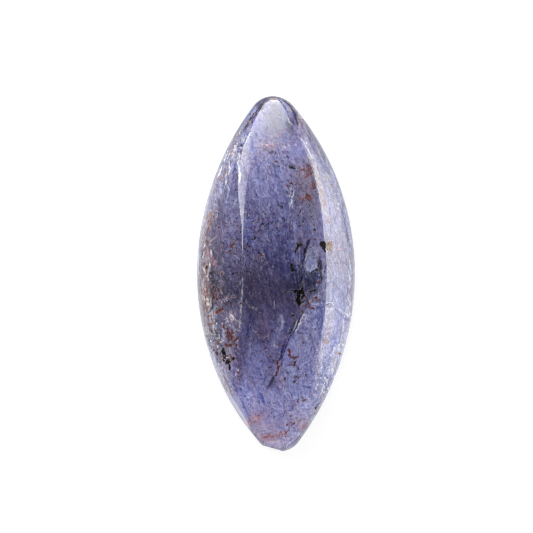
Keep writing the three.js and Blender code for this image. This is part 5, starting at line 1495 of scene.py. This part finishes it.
# Open cracks: width and sideways jitter in photograph pixels, then the pixels that the crack runs
# through. Heights and depths of threads are in millimetres.
cracks = {
    "tall": 0.1,
    "depth": 0.01,
    "seed": 21,
    "routes": [
        (1, 0.5, 304, 308, 303, 312, 300, 317, 298, 322, 296.8, 327, 294, 331, 291, 335),
        (0.8, 0.9, 296.5, 318, 294.5, 324, 292, 329, 289.5, 333),
        (0.9, 0.4, 291, 335, 288.5, 340, 286.5, 345, 284.5, 352, 282, 358, 281, 366),
        (1.4, 0.5, 309.5, 240, 307, 247, 305, 256, 303, 264, 301.5, 272, 301.5, 284),
        (1.4, 0.5, 318.5, 254, 319.5, 262, 319, 270, 322, 279), (0.6, 0.4, 324, 305, 330, 303.5, 335, 307),
        (1.2, 0.6, 265, 101, 260, 106, 256, 112, 249, 121, 244, 129),
        (1.2, 0.4, 286, 102, 291, 108, 296, 117, 298, 125), (0.8, 0.4, 221, 285, 217, 287, 214, 291),
    ],
}

# Fine hairs along the crystal: the least and greatest of x, y, length and width in photograph pixels and
# of depth, how far to the left a hair starts for each pixel that it lies lower, the mean and spread of
# its lean in degrees, the share of hairs that lie across, and their height.
hairs = {
    "x": (210, 346),
    "y": (140, 430),
    "slant": 0.0,
    "lengths": (2, 7),
    "lean": (14, 12),
    "tall": 0.03,
    "depths": (0.03, 0.3),
    "jitter": 0.12,
}
paleHairs = {**hairs, "count": 160, "widths": (0.3, 0.6), "across": 0.1, "placeSeed": 41, "seed": 26}
darkHairs = {**hairs, "count": 200, "widths": (0.25, 0.5), "across": 0.25, "placeSeed": 42, "seed": 27}
# bright wisps beside the upper left edge, drawn with the pale hairs
paleWisps = {
    "x": (222, 244),
    "y": (125, 190),
    "slant": 0.25,
    "lengths": (5, 14),
    "lean": (18, 5),
    "tall": 0.04,
    "depths": (0.03, 0.2),
    "jitter": 0.2,
    "count": 120,
    "widths": (0.6, 1.6),
    "across": 0.0,
    "placeSeed": 31,
}
crossTurn = 70  # degrees between the hairs that lie across and the others

# Thin plates: depth under the dome and thickness in millimetres, how rough their edge is in pixels, and
# their corners as x, y, x, y ... in photograph pixels.
plateShape = {"depth": -0.006, "thick": 0.06, "rough": 0.42}
blackPlates = {
    **plateShape,
    "seed": 61,
    "outlines": [
        (320, 242.3, 322.5, 241, 325.3, 241.3, 325.8, 246, 325.2, 249, 326.2, 251.8, 324.5, 252.3, 323,
         250, 322.8, 248.5, 320.8, 247, 319.6, 244.5),
        *blots["black"],
    ],
}
creamPlates = {
    **plateShape,
    "seed": 63,
    "outlines": [
        (326.2, 242, 328, 241.4, 331.5, 241.6, 332.3, 244, 332, 248, 331.8, 252.4, 330, 250.8, 326.8, 250,
         326.2, 247),
    ],
}


# Routes of the cracks, and in the same form those of the hairs: pixels, width, height, depth, jitter.
def crackRoutes():
    size = cracks["tall"], cracks["depth"]
    return [(np.reshape(route, (-1, 2)), width, *size, jitter) for width, jitter, *route in cracks["routes"]]


def hairRoutes(kind):
    dice = np.random.default_rng(kind["placeSeed"])
    routes = []
    for _ in range(kind["count"]):
        x, y = dice.uniform(*kind["x"]), dice.uniform(*kind["y"])
        x -= (y - kind["y"][0]) * kind["slant"]
        length = dice.uniform(*kind["lengths"])
        lean = dice.normal(*kind["lean"])
        if kind["across"]:
            lean += crossTurn * (dice.random() < kind["across"])
        lean = math.radians(lean)
        route = [(x, y), (x - length * math.sin(lean), y + length * math.cos(lean))]
        width, depth = dice.uniform(*kind["widths"]), dice.uniform(*kind["depths"])
        if np.all(wellInside(*fromPhoto(route))):
            routes.append((route, width, kind["tall"], depth, kind["jitter"]))
    return routes


# The camera looks straight down, with the stone where the photograph has it.
def makeCamera():
    data = bpy.data.cameras.new("camera")
    data.lens = photo["lens"]
    data.sensor_width = photo["sensor"]
    data.clip_start = 0.01
    data.clip_end = 10
    camera = bpy.data.objects.new("camera", data)
    camera.location = (cameraX * mm, cameraY * mm, cameraHeight * mm)
    bpy.context.scene.collection.objects.link(camera)
    bpy.context.scene.camera = camera


# White panels round the stone, where white paper has a brightness of 1. Each is a ribbon through
# stations: compass angle from +X, its lowest and highest angle above the horizon, its brightness along
# both edges, and how far inside the upper edge it fades. All angles are in degrees.
studio = {
    # brightness of the sky by height, from straight down (0) over the horizon (0.5) to straight up (1)
    "sky": [
        (0.0, 0.95), (0.05, 0.9), (0.1, 0.7), (0.2, 0.25), (0.52, 0.4), (0.8, 0.3), (0.92, 0.12), (1.0, 0.05),
    ],
    "distance": 130.0,
    "panels": {
        "rightPanel": [
            (-42, -30, 1, 0.2, 0.4, 6), (-33, -40, 4, 0.3, 1.8, 4), (-21, -45, 14.5, 0.4, 3.4, 3),
            (-10, -45, 15, 0.4, 4.1, 2), (0, -45, 15.5, 0.5, 4.3, 1.5), (8, -45, 15.5, 0.7, 4.4, 1),
            (15, -45, 15, 0.7, 4.6, 0.6), (28, -45, 8, 0.6, 4.6, 0.6), (36, -40, 3, 0.5, 4, 1),
            (46, -20, 2, 0.2, 2, 2),
        ],
        "backPanel": [
            (54, -4, 6, 0.6, 0.4, 0.5), (58, -3, 16, 1.5, 0.2, 0.5), (66, -8, 27, 3.4, 0.1, 0.5),
            (76, -22, 37, 5, 0.2, 0.5), (92, -23, 40, 5.2, 0.3, 0.5), (106, -14, 37, 5, 0.8, 0.5),
            (118, -7, 31, 4.8, 1.5, 0.5), (127, -8, 25, 4.4, 1.4, 0.5),
        ],
        "leftPanel": [
            (127, -8, 25, 4.4, 1.4, 0.5), (134, -6, 24, 4.6, 1.7, 0.5), (140, -5, 27, 5, 2.3, 0.5),
            (148, 10, 33, 5.4, 3, 0.5), (153, 25, 35.4, 5.4, 5.4, 0.3), (158, 35, 38, 5.4, 5.4, 0.2),
            (165, 39.2, 40.9, 5.4, 5.4, 0.1), (170, 40.6, 41.4, 4.6, 4.6, 0.1),
            (174, 41.4, 41.5, 3, 3, 0.1),
        ],
    },
    "floorReach": 400.0,
    "floorLight": 0.80,  # the floor's own light
    "underLight": 2.6,  # brightness of the light table under the stone
    "underShare": 0.98,  # its size against the stone's outline
    "underGap": 0.005,  # how far it and the floor lie under the stone's back, in millimetres
    "floorGap": 0.01,
}


# A panel's points lie on a sphere round the stone; its brightness is an attribute on its points.
def makePanel(name, stations):
    angle, low, high, brightLow, brightHigh, fade = np.array(stations, float).T
    along = 1 - np.linspace(1, 0, 24)[:, None] ** 2
    rise = np.radians(low + (high - low) * along)
    turn = np.radians(angle + 0 * along)
    points = np.stack([np.cos(rise) * np.cos(turn), np.cos(rise) * np.sin(turn), np.sin(rise)], axis=-1)
    points = (points * studio["distance"]).reshape(-1, 3)
    panel = makePiece(name, points, gridFaces(len(along), len(angle)), smooth=False)
    bright = panel.data.attributes.new("bright", "FLOAT", "POINT")
    edge = np.clip((high - low) * (1 - along) / fade, 0, 1)
    bright.data.foreach_set("value", ((brightLow + (brightHigh - brightLow) * along) * edge).ravel())
    f = Finish(name)
    strength = f.node("Attribute", {"attribute_name": "bright"}, {}, "Fac")
    f.surface(f.node("Emission", {}, {"Strength": strength}))
    panel.data.materials.append(f.material)
    panel.visible_camera = False


# Matt white that also shines.
def whiteLight(name, white, strength):
    f = Finish(name)
    sockets = {
        "Base Color": (white, white, white, 1.0),
        "Roughness": 0.8,
        "Emission Color": (1.0, 1.0, 1.0, 1.0),
        "Emission Strength": strength,
    }
    f.surface(f.node("BsdfPrincipled", {}, sockets))
    return f.material


# A light table just under the stone, in the shape of its outline.
def makeUnderLight():
    x, y = outlineAt(sideAngles(60))
    x, y = np.concatenate([x, -x[-2:0:-1]]), np.concatenate([y, y[-2:0:-1]])
    points = np.stack([x + leanAt(y), y, np.zeros(len(x))], axis=1) * studio["underShare"]
    points[:, 2] -= studio["underGap"]
    table = makePiece("underLight", points, [list(range(len(points)))], smooth=False)
    table.data.materials.append(whiteLight("underLight", 0.8, studio["underLight"]))
    table.visible_camera = False
    table.visible_glossy = False


# The sky is brightest at the sides and dark overhead, where the camera looks from.
def makeSky():
    world = bpy.data.worlds.new("studio")
    world.use_nodes = True
    sky = world.node_tree
    direction = sky.nodes.new("ShaderNodeTexCoord")
    split = sky.nodes.new("ShaderNodeSeparateXYZ")
    upwards = sky.nodes.new("ShaderNodeMapRange")
    upwards.inputs["From Min"].default_value = -1.0
    ramp = sky.nodes.new("ShaderNodeValToRGB")
    while len(ramp.color_ramp.elements) < len(studio["sky"]):
        ramp.color_ramp.elements.new(1.0)
    for element, (position, bright) in zip(ramp.color_ramp.elements, studio["sky"]):
        element.position = position
        element.color = (bright, bright, bright, 1.0)
    sky.links.new(direction.outputs["Generated"], split.inputs[0])
    sky.links.new(split.outputs["Z"], upwards.inputs["Value"])
    sky.links.new(upwards.outputs["Result"], ramp.inputs["Fac"])
    sky.links.new(ramp.outputs["Color"], sky.nodes["Background"].inputs["Color"])
    bpy.context.scene.world = world


def makeFloor():
    reach = studio["floorReach"]
    corners = [(-reach, -reach, 0), (reach, -reach, 0), (reach, reach, 0), (-reach, reach, 0)]
    floor = makePiece("floor", np.array(corners) - [0, 0, studio["floorGap"]], [(0, 1, 2, 3)], smooth=False)
    floor.data.materials.append(whiteLight("paleFloor", 0.9, studio["floorLight"]))
    floor.visible_glossy = False


scene = bpy.context.scene
scene.view_settings.view_transform = "Standard"
scene.cycles.transparent_max_bounces = 32
scene.cycles.filter_width = 1.0  # pixels
print("making the camera and lights")
makeCamera()
makeSky()
for name, stations in studio["panels"].items():
    makePanel(name, stations)
makeUnderLight()
makeFloor()
print("making the stone")
body = makeStone()
paintStone(body)
settle(body, crystalFinish())
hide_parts("cabochon")
print("making the inclusions")
strew("rustFlecks", rustFlecks, inclusionFinish("rustCrystals"))
strew("ochreFlecks", ochreFlecks, inclusionFinish("ochreCrystals"))
strew("graphiteFlecks", graphiteFlecks, inclusionFinish("graphite"))
strew("chalkFlecks", chalkFlecks, inclusionFinish("chalkFlecks"))
threads("cracks", crackRoutes(), inclusionFinish("crackShadow"), cracks["seed"])
paleRoutes = hairRoutes(paleWisps) + hairRoutes(paleHairs)
threads("paleHairs", paleRoutes, inclusionFinish("paleWisps"), paleHairs["seed"])
threads("darkHairs", hairRoutes(darkHairs), inclusionFinish("darkHairs"), darkHairs["seed"])
makePlates("blackPlates", blackPlates, inclusionFinish("graphite"))
makePlates("creamPlates", creamPlates, inclusionFinish("creamCrystal"))
